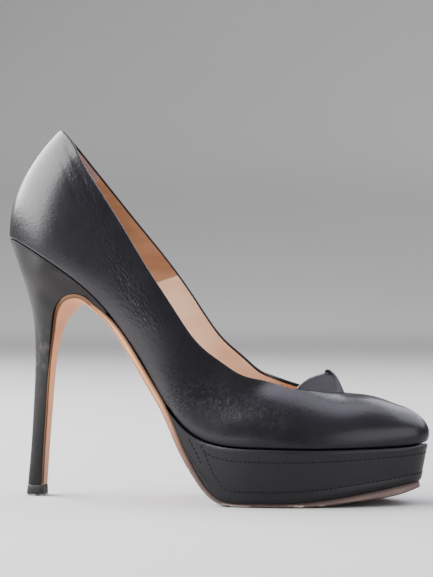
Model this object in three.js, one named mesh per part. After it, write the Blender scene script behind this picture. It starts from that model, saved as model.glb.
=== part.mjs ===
// A right platform pump on a stiletto heel, in millimetres.
// +X points to the toe, +Y to the medial side, +Z up. The shoe stands empty on its top piece and outsole.

import * as THREE from "three";
import { mergeVertices } from "three/addons/utils/BufferGeometryUtils.js";

// Driving sizes

const LENGTH = 224.5; // back of the heel to the tip of the toe, without overhangs
const BALL_WIDTH = 76; // across the feather line at the ball
const HEEL_HEIGHT = 137; // floor to the feather line at the back
const PLATFORM_HEIGHT = 29.2; // floor to the feather line at the ball
const BACK_HEIGHT = 57; // feather line to topline at the back
const WALL = 1.8; // upper with its lining
const GAP = 0.3; // between pieces that are glued or stitched on the real shoe
const INSOLE_THICK = 2.2;
const TAB_THICK = 1.6;
const TAB_HEIGHT = 9.7; // throat edge to the top of the tab
const TAB_REACH = 9.8; // how far the tab curls back over the opening
const TAB_ROOT = 4; // the flange under the vamp
const TAB_SAG = 0.7; // how much the flange bends down with the vamp
const SOLE_THICK = 1.9; // leather sole under the ball
const SOLE_INSET = 0.4; // the sole's edge behind the pieces above it
const PLATFORM_LIP = 1; // how far the platform's top stands out past the upper
const SEAM_DEPTH = 0.45; // grooves where the platform cover is stitched
const HEEL_SEAT_WIDTH = 50; // across the sole where it turns down to the heel breast
const BREAST_COVER = 1.1; // sole leather down the heel breast
const TOP_PIECE_HEIGHT = 5.8;
const TOP_PIECE_FLARE = 0.35;
const HEEL_TIP_LENGTH = 9.7; // front to back, with the breast cover
const HEEL_TIP_X = 10.6; // back of the top piece
const HEEL_TIP_WIDTH = 9;

// Places along the shoe, shares of LENGTH
const WING_SHARE = 0.267; // the front end of the heel's wings
const REAR_SHARE = 0.411; // the back edge of the platform
const BLEND_SHARE = 0.1; // where the sole's edge passes from the upper's outline to the platform's

// Splines and small vector helpers

const clamp = (value, low, high) => Math.min(Math.max(value, low), high);
const lerp = (a, b, share) => a + (b - a) * share;
const steps = (count) => Array.from({ length: count + 1 }, (_, i) => i / count);
const point = (x, y, z) => new THREE.Vector3(x, y, z);

// Rows of a table as objects, by the names of their columns.
const table = (columns, rows) =>
  rows.map((row) => Object.fromEntries(columns.map((column, i) => [column, row[i]])));

// A cubic spline through values at knots. A flat end has no slope there, so that a mirrored half carries
// on smoothly.
function spline(knots, values, flatStart = false, flatEnd = false) {
  const last = knots.length - 1;
  const span = (i) => knots[i + 1] - knots[i];
  const rate = (i) => (values[i + 1] - values[i]) / span(i);
  const diagonal = new Array(last + 1).fill(1);
  const upper = new Array(last + 1).fill(0);
  const bend = new Array(last + 1).fill(0);
  if (flatStart) {
    diagonal[0] = span(0) / 3;
    upper[0] = span(0) / 6;
    bend[0] = rate(0);
  }
  for (let i = 1; i <= last; i++) {
    const inside = i < last;
    if (!inside && !flatEnd) break;
    const lower = span(i - 1) / 6;
    const right = inside ? rate(i) - rate(i - 1) : -rate(i - 1);
    const share = lower / diagonal[i - 1];
    diagonal[i] = (inside ? (span(i - 1) + span(i)) / 3 : span(i - 1) / 3) - share * upper[i - 1];
    upper[i] = inside ? span(i) / 6 : 0;
    bend[i] = right - share * bend[i - 1];
  }
  bend[last] /= diagonal[last];
  for (let i = last - 1; i >= 0; i--) bend[i] = (bend[i] - upper[i] * bend[i + 1]) / diagonal[i];
  return (t) => {
    const at = clamp(t, knots[0], knots[last]);
    let i = 0;
    while (i < last - 1 && at > knots[i + 1]) i++;
    const a = (knots[i + 1] - at) / span(i);
    const b = 1 - a;
    const curve = ((a ** 3 - a) * bend[i] + (b ** 3 - b) * bend[i + 1]) * span(i) ** 2 / 6;
    return a * values[i] + b * values[i + 1] + curve;
  };
}

const HALVINGS = 50;

// Where a rising function reaches a value.
function inverse(rising, value, low, high) {
  for (let i = 0; i < HALVINGS; i++) {
    const middle = (low + high) / 2;
    if (rising(middle) < value) low = middle;
    else high = middle;
  }
  return (low + high) / 2;
}

// Ribs of the upper. Each row is one rib from the feather line to the topline, or to the ridge of the
// vamp. x: share of LENGTH. rise: share of the way from PLATFORM_HEIGHT to HEEL_HEIGHT. lateral, medial,
// half: shares of BALL_WIDTH. ahead, up: the rib's top from its foot, shares of BACK_HEIGHT. medialUp: how
// much higher the medial topline runs, square to it, share of BACK_HEIGHT. low, high: how far up the rib
// its two handles sit. follow: how much the low one leans with the rib. lowOut, highOut: how far they
// stand out, shares of BALL_WIDTH.

const RIBS = table(
  ["x", "rise", "lateral", "medial", "ahead", "up", "half", "medialUp",
    "low", "follow", "lowOut", "high", "highOut"],
  [
    [0.005, 1.0, 0, 0, 0.474, 1.0, 0, 0, 0.35, 0, 0.008, 0.31, 0.138], // back
    [0.027, 0.99, 0.164, 0.164, 0.456, 0.991, 0.072, -0.026, 0.35, 0.15, 0.012, 0.31, 0.133],
    [0.062, 0.959, 0.247, 0.247, 0.419, 0.949, 0.138, -0.045, 0.35, 0.5, 0.018, 0.31, 0.094],
    [0.111, 0.901, 0.308, 0.305, 0.318, 0.907, 0.197, -0.034, 0.35, 0.9, 0.022, 0.32, 0.058],
    [0.169, 0.822, 0.332, 0.326, 0.254, 0.811, 0.239, -0.014, 0.35, 1, 0.022, 0.33, 0.042],
    [0.232, 0.716, 0.324, 0.313, 0.237, 0.668, 0.267, 0.018, 0.35, 1, 0.022, 0.33, 0.034], // waist
    [0.294, 0.567, 0.313, 0.292, 0.228, 0.574, 0.289, 0.071, 0.35, 1, 0.022, 0.33, 0.03],
    [0.356, 0.377, 0.322, 0.289, 0.246, 0.547, 0.311, 0.08, 0.35, 1, 0.026, 0.33, 0.032],
    [0.417, 0.1735, 0.362, 0.329, 0.26, 0.586, 0.32, 0.076, 0.35, 1, 0.03, 0.33, 0.044],
    [0.481, 0.053, 0.425, 0.401, 0.237, 0.639, 0.32, 0.057, 0.36, 1, 0.034, 0.33, 0.07], // ball
    [0.561, 0.009, 0.489, 0.463, 0.184, 0.596, 0.303, 0.011, 0.4, 0.6, 0.034, 0.3, 0.11],
    [0.65, 0.003, 0.505, 0.495, 0.105, 0.535, 0.263, 0, 0.45, 0.3, 0.032, 0, 0],
    [0.731, 0, 0.474, 0.478, 0.061, 0.495, 0.193, 0, 0.48, 0, 0.03, 0, 0],
    [0.802, 0, 0.412, 0.425, 0, 0.479, 0, 0, 0.48, 0, 0.03, 0, 0.23], // throat
    [0.864, 0.002, 0.332, 0.353, -0.061, 0.458, 0, 0, 0.46, 0, 0.034, 0, 0.2],
    [0.918, 0.005, 0.245, 0.263, -0.114, 0.416, 0, 0, 0.44, 0, 0.044, 0, 0.17],
    [0.96, 0.008, 0.149, 0.157, -0.158, 0.367, 0, 0, 0.42, 0, 0.052, 0, 0.14],
    [0.99, 0.016, 0, 0, -0.216, 0.332, 0, 0, 0.4, 0, 0.076, 0, 0.115], // tip of the toe
  ],
);
const THROAT_ROW = 13;

// Where the opening cuts off the end of a rib near the throat. Each row is one of the ribs from the ball on.
// cut: the share cut off. reachX, reachIn, reachUp: what is cut off, in shares of BALL_WIDTH.
const CUT_FROM = 10;
const CUTS = table(
  ["cut", "reachX", "reachIn", "reachUp"],
  [
    [0, 0, 0, 0],
    [0.18, 0.079, 0.132, 0.04],
    [0.22, 0.046, 0.147, 0.024],
    [0, 0, 0, 0],
  ],
);

const featherX = (row) => row.x * LENGTH;
const featherZ = (row) => PLATFORM_HEIGHT + row.rise * (HEEL_HEIGHT - PLATFORM_HEIGHT);

// Distance along the lateral feather line, which numbers the ribs.
const KNOTS = [0];
for (let i = 1; i < RIBS.length; i++) {
  const [a, b] = [RIBS[i - 1], RIBS[i]];
  const run = featherX(b) - featherX(a);
  const drop = featherZ(b) - featherZ(a);
  const spread = (b.lateral - a.lateral) * BALL_WIDTH;
  KNOTS.push(KNOTS[i - 1] + Math.hypot(run, drop, spread));
}
const END = KNOTS[KNOTS.length - 1];
const THROAT = KNOTS[THROAT_ROW];
const column = (values, flat) => spline(KNOTS, values, flat, flat);

const SIDES = { lateral: -1, medial: 1 };
const footX = column(RIBS.map(featherX), true);
const footZ = column(RIBS.map(featherZ), true);
const footHalf = Object.fromEntries(
  Object.keys(SIDES).map((side) => [side, column(RIBS.map((row) => row[side] * BALL_WIDTH), false)]),
);

// The way out of the shoe, level, at a place on the feather line: [x, outwards].
function outward(side, u) {
  const d = 0.01;
  const [a, b] = [Math.max(u - d, 0), Math.min(u + d, END)];
  if (a === 0) return [-1, 0];
  if (b === END) return [1, 0];
  const run = footX(b) - footX(a);
  const spread = footHalf[side](b) - footHalf[side](a);
  const size = Math.hypot(run, spread);
  return [-spread / size, run / size];
}

const cutRow = (i) => CUTS[i - CUT_FROM] ?? CUTS[0];
const topX = RIBS.map((row, i) => featherX(row) + row.ahead * BACK_HEIGHT + cutRow(i).reachX * BALL_WIDTH);
const topZ = RIBS.map((row, i) => featherZ(row) + row.up * BACK_HEIGHT + cutRow(i).reachUp * BALL_WIDTH);
const topHalf = RIBS.map((row, i) => (row.half - cutRow(i).reachIn) * BALL_WIDTH);
topHalf.fill(0, THROAT_ROW);

const headX = column(topX, true);
const headZ = column(topZ, true);
const behindThroat = (values) => {
  const curve = spline(KNOTS.slice(0, THROAT_ROW + 1), values.slice(0, THROAT_ROW + 1), false, true);
  return (u) => (u < THROAT ? curve(u) : 0);
};
const headHalf = behindThroat(topHalf);
const medialLift = behindThroat(RIBS.map((row) => row.medialUp * BACK_HEIGHT));

// The two handles of a row's rib, from its foot and from its head: [x, outwards, z].
function handles(side, i) {
  const row = RIBS[i];
  const [outX, outY] = outward(side, KNOTS[i]);
  const foot = [featherX(row), row[side] * BALL_WIDTH, featherZ(row)];
  const head = [topX[i], topHalf[i], topZ[i]];
  const rib = [row.ahead * BACK_HEIGHT, row.up * BACK_HEIGHT];
  const lowOut = row.lowOut * BALL_WIDTH;
  const highOut = row.highOut * BALL_WIDTH;
  const low = [rib[0] * row.low * row.follow + outX * lowOut, outY * lowOut, rib[1] * row.low];
  const { cut } = cutRow(i);
  if (cut > 0) {
    // The high handle that takes the rib through the topline where it is cut.
    const v = 1 - cut;
    const topline = [foot[0] + rib[0], row.half * BALL_WIDTH, foot[2] + rib[1]];
    const high = topline.map((value, k) => {
      const rest = cut ** 3 * foot[k] + 3 * cut ** 2 * v * (foot[k] + low[k]) + v ** 3 * head[k];
      return (value - rest) / (3 * cut * v ** 2) - head[k];
    });
    return { low, high };
  }
  const slope = i >= THROAT_ROW ? ridgeSlope(KNOTS[i]) : 0;
  const high = [
    -rib[0] * row.high + outX * highOut,
    outY * highOut,
    -rib[1] * row.high + slope * outX * highOut,
  ];
  return { low, high };
}

function ridgeSlope(u) {
  const d = 1;
  const a = clamp(u - d / 2, THROAT, END - d);
  return (headZ(a + d) - headZ(a)) / (headX(a + d) - headX(a));
}

const handleSplines = Object.fromEntries(
  Object.keys(SIDES).map((side) => {
    const rows = RIBS.map((_, i) => handles(side, i));
    const splines = (end) => [0, 1, 2].map((k) => column(rows.map((row) => row[end][k]), k !== 1));
    return [side, { low: splines("low"), high: splines("high") }];
  }),
);

const LIFT_WAY = new THREE.Vector2(0.83, 0.56).normalize(); // square to the topline, in x and z

const cutSpline = (() => {
  const from = THROAT - KNOTS[CUT_FROM];
  const rows = CUTS.map((row, i) => [Math.sqrt(THROAT - KNOTS[CUT_FROM + i]), row.cut]).reverse();
  const curve = spline(rows.map((row) => row[0]), rows.map((row) => row[1]), false, true);
  return (u) => (u >= THROAT || THROAT - u >= from ? 0 : curve(Math.sqrt(THROAT - u)));
})();
const topShare = (u) => 1 - cutSpline(u);

// A point of the uncut outer surface: u along the feather line, v up the rib.
function surface(side, u, v) {
  const { low, high } = handleSplines[side];
  const lift = side === "medial" ? medialLift(u) : 0;
  const foot = [footX(u), footHalf[side](u), footZ(u)];
  const head = [headX(u) + lift * LIFT_WAY.x, headHalf(u), headZ(u) + lift * LIFT_WAY.y];
  const w = 1 - v;
  const [x, half, z] = foot.map((value, k) => {
    const a = value + low[k](u);
    const b = head[k] + high[k](u);
    return w ** 3 * value + 3 * w ** 2 * v * a + 3 * w * v ** 2 * b + v ** 3 * head[k];
  });
  return point(x, SIDES[side] * half, z);
}

// Its outward normal. On the middle plane it has no sideways part, so that the two sides meet.
function normal(side, u, v) {
  const d = 1e-3;
  const along = (a, b) => surface(side, clamp(u + b, 0, END), v).sub(surface(side, clamp(u + a, 0, END), v));
  const up = surface(side, u, Math.min(v + d, 1)).sub(surface(side, u, Math.max(v - d, 0)));
  if (u === 0 || u === END) {
    return point(-up.z, 0, up.x).multiplyScalar(u === 0 ? 1 : -1).normalize();
  }
  if (v === 1 && u >= THROAT) {
    const ridge = along(u === THROAT ? 0 : -d, d);
    return point(-ridge.z, 0, ridge.x).normalize();
  }
  return up.cross(along(-d, d)).multiplyScalar(SIDES[side]).normalize();
}

const inset = (side, u, v, depth) => surface(side, u, v).addScaledVector(normal(side, u, v), -depth);

// Skins: faces are gathered, merged at shared corners and turned outward

class Skin {
  constructor() {
    this.corners = [];
  }

  face(...corners) {
    for (let i = 1; i < corners.length - 1; i++) {
      const triangle = [corners[0], corners[i], corners[i + 1]];
      const [a, b, c] = triangle;
      const tiny = 1e-4;
      if (a.distanceTo(b) > tiny && b.distanceTo(c) > tiny && c.distanceTo(a) > tiny) {
        this.corners.push(...triangle);
      }
    }
  }

  // Quads between neighbouring rows of points.
  grid(rows, turned = false) {
    for (let i = 0; i < rows.length - 1; i++) {
      for (let j = 0; j < rows[i].length - 1; j++) {
        const quad = [rows[i][j], rows[i + 1][j], rows[i + 1][j + 1], rows[i][j + 1]];
        this.face(...(turned ? quad.reverse() : quad));
      }
    }
  }

  geometry() {
    const volume = this.corners.reduce(
      (sum, a, i) => (i % 3 ? sum : sum + a.dot(this.corners[i + 1].clone().cross(this.corners[i + 2]))),
      0,
    );
    const outwardCorners = volume < 0 ? this.corners.slice().reverse() : this.corners;
    const shape = mergeVertices(new THREE.BufferGeometry().setFromPoints(outwardCorners), 1e-4);
    shape.computeVertexNormals();
    return shape;
  }
}

// Places along the feather line: close together near the throat, where the topline turns across.
const QUARTER_STEPS = 17;
const THROAT_STEPS = 13;
const VAMP_STEPS = 14;
const STATION_LEAST = 3; // between a regular place and one where another piece ends
const TOE_EASE = 0.6; // how much the places draw together towards the tip of the toe
const THROAT_SPAN = THROAT - KNOTS[CUT_FROM];
const besideThroat = (k) => THROAT - THROAT_SPAN * (k / THROAT_STEPS) ** 2;
const easedEnd = (t) => lerp(t, Math.sin((t * Math.PI) / 2), TOE_EASE);
const QUARTER = steps(QUARTER_STEPS).map((t) => (THROAT - THROAT_SPAN) * t);
const THROAT_SIDE = steps(THROAT_STEPS).slice(1).map((t) => besideThroat(THROAT_STEPS * (1 - t)));
const VAMP = steps(VAMP_STEPS).slice(1).map((t) => lerp(THROAT, END, easedEnd(t)));
const featherAt = (x) => inverse(footX, x, 0, END);
const WING_TIP = WING_SHARE * LENGTH;
const PLATFORM_REAR = REAR_SHARE * LENGTH;
const WING = featherAt(WING_TIP);
const REAR = featherAt(PLATFORM_REAR);
const STATIONS = [...QUARTER, ...THROAT_SIDE, ...VAMP]
  .filter((u) => Math.abs(u - WING) > STATION_LEAST && Math.abs(u - REAR) > STATION_LEAST)
  .concat(WING, REAR)
  .sort((a, b) => a - b);

// Upper: a shell open along the topline and underneath

const RIB_STEPS = 11;

function upper() {
  const skin = new Skin();
  for (const side of Object.keys(SIDES)) {
    const turned = side === "medial";
    const layer = (depth) =>
      STATIONS.map((u) => steps(RIB_STEPS).map((share) => inset(side, u, share * topShare(u), depth)));
    const outer = layer(0);
    const inner = layer(WALL);
    skin.grid(outer, turned);
    skin.grid(inner, !turned);
    skin.grid(outer.map((rib, i) => [inner[i][0], rib[0]]), turned);
    const open = outer.filter((_, i) => STATIONS[i] <= THROAT);
    skin.grid(open.map((rib, i) => [rib[RIB_STEPS], inner[i][RIB_STEPS]]), turned);
  }
  return skin.geometry();
}

// Throat tab: a curled peak with a flange under the vamp

const TAB_STEPS = 9; // places on each side, the same as the upper's beside the throat
const TAB_SHARPNESS = 5; // how square the peak's outline is
const TAB_LEAST = 0.05; // share of its size that the tab keeps at its ends
const TAB_DROP = 0.57; // share of its height that it loses at its flat sides
const TAB_LEAN = 0.2; // share of its reach that it gains there
const TAB_CURVE_STEPS = 7;
const TAB_CLEAR = 1.5 * GAP; // from the throat edge to the tab's outer face

// The tab's profile from the throat edge to its rim, in shares of its reach and height.
// reach, height: at the front, where it is bent back. flankReach, flankHeight: at its flat sides.
const TAB_PROFILE = table(
  ["reach", "height", "flankReach", "flankHeight"],
  [
    [0, 0, 0, 0],
    [0.3, 0.48, 0.33, 0.33],
    [0.5, 0.94, 0.66, 0.7],
    [1, 1, 1, 1],
  ],
);

// The topline around the throat: k counts places from the middle, lateral below zero and medial above.
function topline(k) {
  const u = besideThroat(k);
  return surface(k < 0 ? "lateral" : "medial", u, topShare(u));
}

// The tab's outer face at a place: a line of points away from the throat edge and up, and the frame they
// stand in.
function tabSection(k) {
  const u = besideThroat(k);
  const edge = topline(k);
  const up = normal(k < 0 ? "lateral" : "medial", u, topShare(u));
  const d = 0.01;
  const inward = up.clone().cross(topline(k + d).sub(topline(k - d))).normalize();
  const off = Math.abs(k) / TAB_STEPS;
  const scale = 1 - off ** TAB_SHARPNESS + TAB_LEAST;
  const flank = Math.sin((off * Math.PI) / 2) ** 2;
  const height = TAB_HEIGHT * scale * (1 - TAB_DROP * flank);
  const reach = TAB_REACH * scale * (1 + TAB_LEAN * flank);
  const stand = new THREE.CubicBezierCurve(
    ...TAB_PROFILE.map((at) => {
      const x = TAB_CLEAR + reach * lerp(at.reach, at.flankReach, flank);
      return new THREE.Vector2(x, height * lerp(at.height, at.flankHeight, flank));
    }),
  );
  const below = -WALL - GAP;
  const root = [
    new THREE.Vector2(-TAB_ROOT, below - TAB_SAG),
    new THREE.Vector2(-GAP, below),
    new THREE.Vector2(TAB_CLEAR, -WALL),
  ];
  return { edge, up, inward, line: [...root, ...stand.getPoints(TAB_CURVE_STEPS)] };
}

function throatTab() {
  const skin = new Skin();
  const rows = steps(2 * TAB_STEPS).map((t) => {
    const { edge, up, inward, line } = tabSection(TAB_STEPS * (2 * t - 1));
    const place = (at) => edge.clone().addScaledVector(inward, at.x).addScaledVector(up, at.y);
    const inner = line.map((at, i) => {
      const way = line[Math.min(i + 1, line.length - 1)].clone().sub(line[Math.max(i - 1, 0)]).normalize();
      return place(new THREE.Vector2(at.x + way.y * TAB_THICK, at.y - way.x * TAB_THICK));
    });
    return { outer: line.map(place), inner };
  });
  const outer = rows.map((row) => row.outer);
  const inner = rows.map((row) => row.inner);
  const last = rows.length - 1;
  const rim = outer[0].length - 1;
  skin.grid(outer);
  skin.grid(inner, true);
  skin.grid(outer.map((row, i) => [inner[i][0], row[0]]));
  skin.grid(outer.map((row, i) => [row[rim], inner[i][rim]]));
  skin.grid([outer[0], inner[0]], true);
  skin.grid([outer[last], inner[last]]);
  return skin.geometry();
}

// Insole: a flat slab that follows the feather line inside the upper

// A place inside or outside the feather line, on its own level.
function featherPoint(side, u, away, drop) {
  const [outX, outY] = outward(side, u);
  const half = Math.max(footHalf[side](u) + outY * away, 0);
  return point(footX(u) + outX * away, SIDES[side] * half, footZ(u) - drop);
}

function slopeUp(u) {
  const d = 0.5;
  const run = footX(Math.min(u + d, END)) - footX(Math.max(u - d, 0));
  const rise = footZ(Math.min(u + d, END)) - footZ(Math.max(u - d, 0));
  return point(-rise, 0, run).normalize();
}

function insole() {
  const skin = new Skin();
  const clear = WALL + GAP;
  const level = (thick) =>
    STATIONS.map((u) =>
      Object.keys(SIDES).map((side) => featherPoint(side, u, -clear, 0).addScaledVector(slopeUp(u), thick)),
    );
  const bottom = level(0);
  const top = level(INSOLE_THICK);
  skin.grid(bottom);
  skin.grid(top, true);
  skin.grid(bottom.map((row, i) => [top[i][0], row[0]]));
  skin.grid(bottom.map((row, i) => [row[1], top[i][1]]));
  return skin.geometry();
}

// Outsole: one strip from the toe, under the platform, up the waist, round the arch and down the heel breast

// Its upper face. x: share of LENGTH. rise: share of the way from SOLE_THICK up to the feather line. half:
// share of the way from half of HEEL_TIP_WIDTH to half of HEEL_SEAT_WIDTH, or null where the strip takes
// its width from the feather line. edge, dome: thickness at its sides and what the middle has more, shares
// of SOLE_THICK.
const SOLE = table(
  ["x", "rise", "half", "edge", "dome"],
  [
    [0.974, 0.352, null, 1.7, 0], // toe
    [0.936, 0.294, null, 2.25, 0],
    [0.87, 0.194, null, 2.0, 0],
    [0.78, 0.077, null, 1.56, 0],
    [0.7, 0.013, null, 1.18, 0],
    [0.63, 0, null, 1.03, 0], // flat under the ball
    [0.57, 0, null, 1.08, 0],
    [0.541, 0.051, null, 1.1, 0],
    [0.521, 0.148, null, 1.21, 0],
    [0.488, 0.426, null, 1.47, 0.26],
    [0.455, 0.714, null, 1.68, 0.63],
    [0.412, 0.983, null, 1.79, 1.05],
    [0.381, 0.996, null, 1.79, 1.26], // waist
    [0.334, 0.988, null, 1.74, 1.47],
    [0.289, 0.994, null, 1.58, 1.58],
    [0.258, 0.979, null, 1.26, 1.68],
    [0.234, 0.966, null, 1.1, 1.79],
    [0.211, 0.96, null, 1.05, 1.84], // arch
    [0.188, 0.935, 1, 1.05, 1.84],
    [0.169, 0.901, 0.974, 1.05, 1.79],
    [0.153, 0.86, 0.9, 1, 1.58],
    [0.14, 0.814, 0.733, 0.95, 1.16],
    [0.1265, 0.755, 0.403, 0.79, 0.58],
    [0.118, 0.691, 0.196, 0.68, 0.21],
    [0.1109, 0.614, 0.099, 0.58, 0], // heel breast
    [0.1025, 0.4753, 0.058, 0.58, 0],
    [0.0975, 0.3469, 0.029, 0.58, 0],
    [0.0915, 0.2007, 0.007, 0.58, 0],
  ],
);
const BREAST_FROM = 18; // the first row with a width of its own
const TAPER_SHARE = 0.972; // how much narrower and shorter the platform is below
const PLATFORM_BLEND = BLEND_SHARE * LENGTH;
const TOE_ROW = 2; // the row up to which the strip has its finer facets

const soleRows = SOLE.map((row) => ({
  x: row.x * LENGTH,
  z: lerp(SOLE_THICK, footZ(featherAt(row.x * LENGTH)) - GAP, row.rise),
  half: row.half === null ? null : lerp(HEEL_TIP_WIDTH, HEEL_SEAT_WIDTH, row.half) / 2,
  edge: row.edge * SOLE_THICK,
  dome: row.dome * SOLE_THICK,
}));
soleRows.push({
  x: HEEL_TIP_X + HEEL_TIP_LENGTH - BREAST_COVER,
  z: TOP_PIECE_HEIGHT + GAP,
  half: HEEL_TIP_WIDTH / 2 - TOP_PIECE_FLARE,
  edge: BREAST_COVER,
  dome: 0,
});

const soleKnots = [0];
for (let i = 1; i < soleRows.length; i++) {
  const [a, b] = [soleRows[i - 1], soleRows[i]];
  soleKnots.push(soleKnots[i - 1] + Math.hypot(b.x - a.x, b.z - a.z));
}
const SOLE_END = soleKnots[soleKnots.length - 1];
const soleColumn = (name, from = 0) =>
  spline(
    soleKnots.slice(from),
    soleRows.slice(from).map((row) => row[name]),
  );
const soleX = soleColumn("x");
const soleZ = soleColumn("z");
const soleEdge = soleColumn("edge");
const soleDome = soleColumn("dome");
const breastHalf = soleColumn("half", BREAST_FROM);

// The way from the strip's upper face to its lower face.
function soleDown(s) {
  const d = 0.3;
  const [a, b] = [Math.max(s - d, 0), Math.min(s + d, SOLE_END)];
  return point(soleZ(b) - soleZ(a), 0, soleX(a) - soleX(b)).normalize().negate();
}

// How the plan of the platform's underside follows the feather line.
const belowX = (x) => (x < PLATFORM_REAR ? x : PLATFORM_REAR + (x - PLATFORM_REAR) * TAPER_SHARE);
const aboveX = (x) => (x < PLATFORM_REAR ? x : PLATFORM_REAR + (x - PLATFORM_REAR) / TAPER_SHARE);

function soleHalf(side, s) {
  if (s >= soleKnots[BREAST_FROM]) return breastHalf(s);
  const u = featherAt(aboveX(soleX(s)));
  const full = footHalf[side](u);
  const tapered = full * TAPER_SHARE + PLATFORM_LIP - SOLE_INSET;
  const forward = clamp((soleX(s) - PLATFORM_REAR) / PLATFORM_BLEND, 0, 1);
  const waist = lerp(full - SOLE_INSET, tapered, forward);
  const [a, b] = [soleKnots[BREAST_FROM - 2], soleKnots[BREAST_FROM]];
  return lerp(waist, breastHalf(b), clamp((s - a) / (b - a), 0, 1));
}

const SOLE_ACROSS = 8;
const SOLE_STEP = 6; // length of a facet along the strip
const TOE_STEPS = 10; // facets round the toe
const SOLE_STATIONS = (() => {
  const places = steps(TOE_STEPS).map((t) => soleKnots[TOE_ROW] * t * t);
  const later = soleKnots.slice(TOE_ROW);
  for (let i = 0; i < later.length - 1; i++) {
    const parts = Math.max(1, Math.round((later[i + 1] - later[i]) / SOLE_STEP));
    for (let k = 1; k <= parts; k++) places.push(lerp(later[i], later[i + 1], k / parts));
  }
  return places;
})();

function outsole() {
  const skin = new Skin();
  const rows = SOLE_STATIONS.map((s) => {
    const down = soleDown(s);
    const centre = point(soleX(s), 0, soleZ(s));
    const [right, left] = [-soleHalf("lateral", s), soleHalf("medial", s)];
    const top = [right, left].map((y) => centre.clone().setY(y));
    const bottom = steps(SOLE_ACROSS).map((t) => {
      const across = 2 * t - 1;
      const thick = soleEdge(s) + soleDome(s) * (1 - across ** 2);
      const at = centre.clone().setY(lerp(right, left, t)).addScaledVector(down, thick);
      return at.setZ(Math.max(at.z, 0)); // worn flat where it meets the floor
    });
    return { top, bottom };
  });
  const loop = rows.map(({ top, bottom }) => [...bottom, top[1], top[0], bottom[0]]);
  skin.grid(loop);
  const cap = ({ top, bottom }, turned) => {
    const last = bottom.length - 1;
    const fan = [top[0], ...bottom.slice(0, last + 1), top[1]];
    skin.face(...(turned ? fan.reverse() : fan));
  };
  cap(rows[0], false);
  cap(rows[rows.length - 1], true);
  return skin.geometry();
}

// Platform: between the feather line and the outsole, with a stepped side

// The side's outline from top to bottom. level: share of the height. out: how far it stands out, share of
// SEAM_DEPTH.
const PLATFORM_SIDE = table(
  ["level", "out"],
  [
    [0, -1.3],
    [0.035, -0.2],
    [0.1, 0],
    [0.18, -0.2],
    [0.23, -1], // upper seam
    [0.28, -0.2],
    [0.45, 0],
    [0.71, 0],
    [0.78, -1], // lower seam
    [0.83, 0.4],
    [0.92, 0.6],
    [1, -0.5],
  ],
);
const FULL_SHARE = 0.6; // share of PLATFORM_HEIGHT from which the side has its full steps

const soleForefoot = (x) => inverse((s) => -soleX(s), -x, 0, soleKnots[BREAST_FROM - 3]);

function platform() {
  const skin = new Skin();
  const places = STATIONS.filter((u) => u >= REAR);
  const sides = {};
  for (const side of Object.keys(SIDES)) {
    sides[side] = places.map((u) => {
      const top = featherPoint(side, u, PLATFORM_LIP, GAP);
      const x = belowX(top.x);
      const soleTop = soleZ(soleForefoot(x));
      const half = Math.abs(top.y) * TAPER_SHARE;
      const height = top.z - soleTop - GAP * Math.hypot(1, slopeNear(x));
      const [outX, outY] = outward(side, u);
      const full = SEAM_DEPTH * clamp(height / (PLATFORM_HEIGHT * FULL_SHARE), 0, 1);
      return PLATFORM_SIDE.map(({ level, out }) =>
        point(
          lerp(top.x, x, level) + outX * out * full,
          SIDES[side] * (lerp(Math.abs(top.y), half, level) + outY * out * full),
          top.z - height * level,
        ),
      );
    });
  }
  const { lateral, medial } = sides;
  const last = PLATFORM_SIDE.length - 1;
  skin.grid(lateral, true);
  skin.grid(medial);
  skin.grid(lateral.map((row, i) => [row[0], medial[i][0]]));
  skin.grid(lateral.map((row, i) => [row[last], medial[i][last]]), true);
  skin.face(...medial[0], ...lateral[0].slice().reverse());
  return skin.geometry();
}

function slopeNear(x) {
  const d = 1;
  return (soleZ(soleForefoot(x + d)) - soleZ(soleForefoot(x - d))) / (2 * d);
}

// Heel: from the seat under the upper down to the top piece, with a flat breast behind the outsole

// Its back, from the seat down. x: share of LENGTH. z: share of HEEL_HEIGHT. breast: the place on the
// front edge that belongs to it, as a share of the way from the wing tip to the bottom. seat: how much the
// level keeps of the seat's outline.
const HEEL = table(
  ["x", "z", "breast", "seat"],
  [
    [0.0115, 0.97, 0.05, 0.98],
    [0.019, 0.939, 0.11, 0.93],
    [0.028, 0.9, 0.17, 0.83],
    [0.037, 0.863, 0.22, 0.7],
    [0.0465, 0.824, 0.27, 0.54],
    [0.053, 0.783, 0.32, 0.38],
    [0.061, 0.722, 0.38, 0.21],
    [0.065, 0.657, 0.44, 0.09],
    [0.0665, 0.58, 0.52, 0.02],
    [0.0662, 0.48, 0.61, 0],
    [0.062, 0.346, 0.73, 0],
    [0.056, 0.19, 0.86, 0],
  ],
);
const HEEL_LEVELS = 26;
const heelRows = [
  { x: footX(0), z: footZ(0) - GAP, breast: 0, seat: 1 },
  ...HEEL.map((row) => ({ ...row, x: row.x * LENGTH, z: row.z * HEEL_HEIGHT })),
  { x: HEEL_TIP_X, z: TOP_PIECE_HEIGHT + GAP, breast: 1, seat: 0 },
];
const heelKnots = heelRows.map((_, i) => i / (heelRows.length - 1));
const heelColumn = (name) => spline(heelKnots, heelRows.map((row) => row[name]));
const heelBackX = heelColumn("x");
const heelBackZ = heelColumn("z");
const heelBreast = heelColumn("breast");
const heelSeat = heelColumn("seat");

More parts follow.
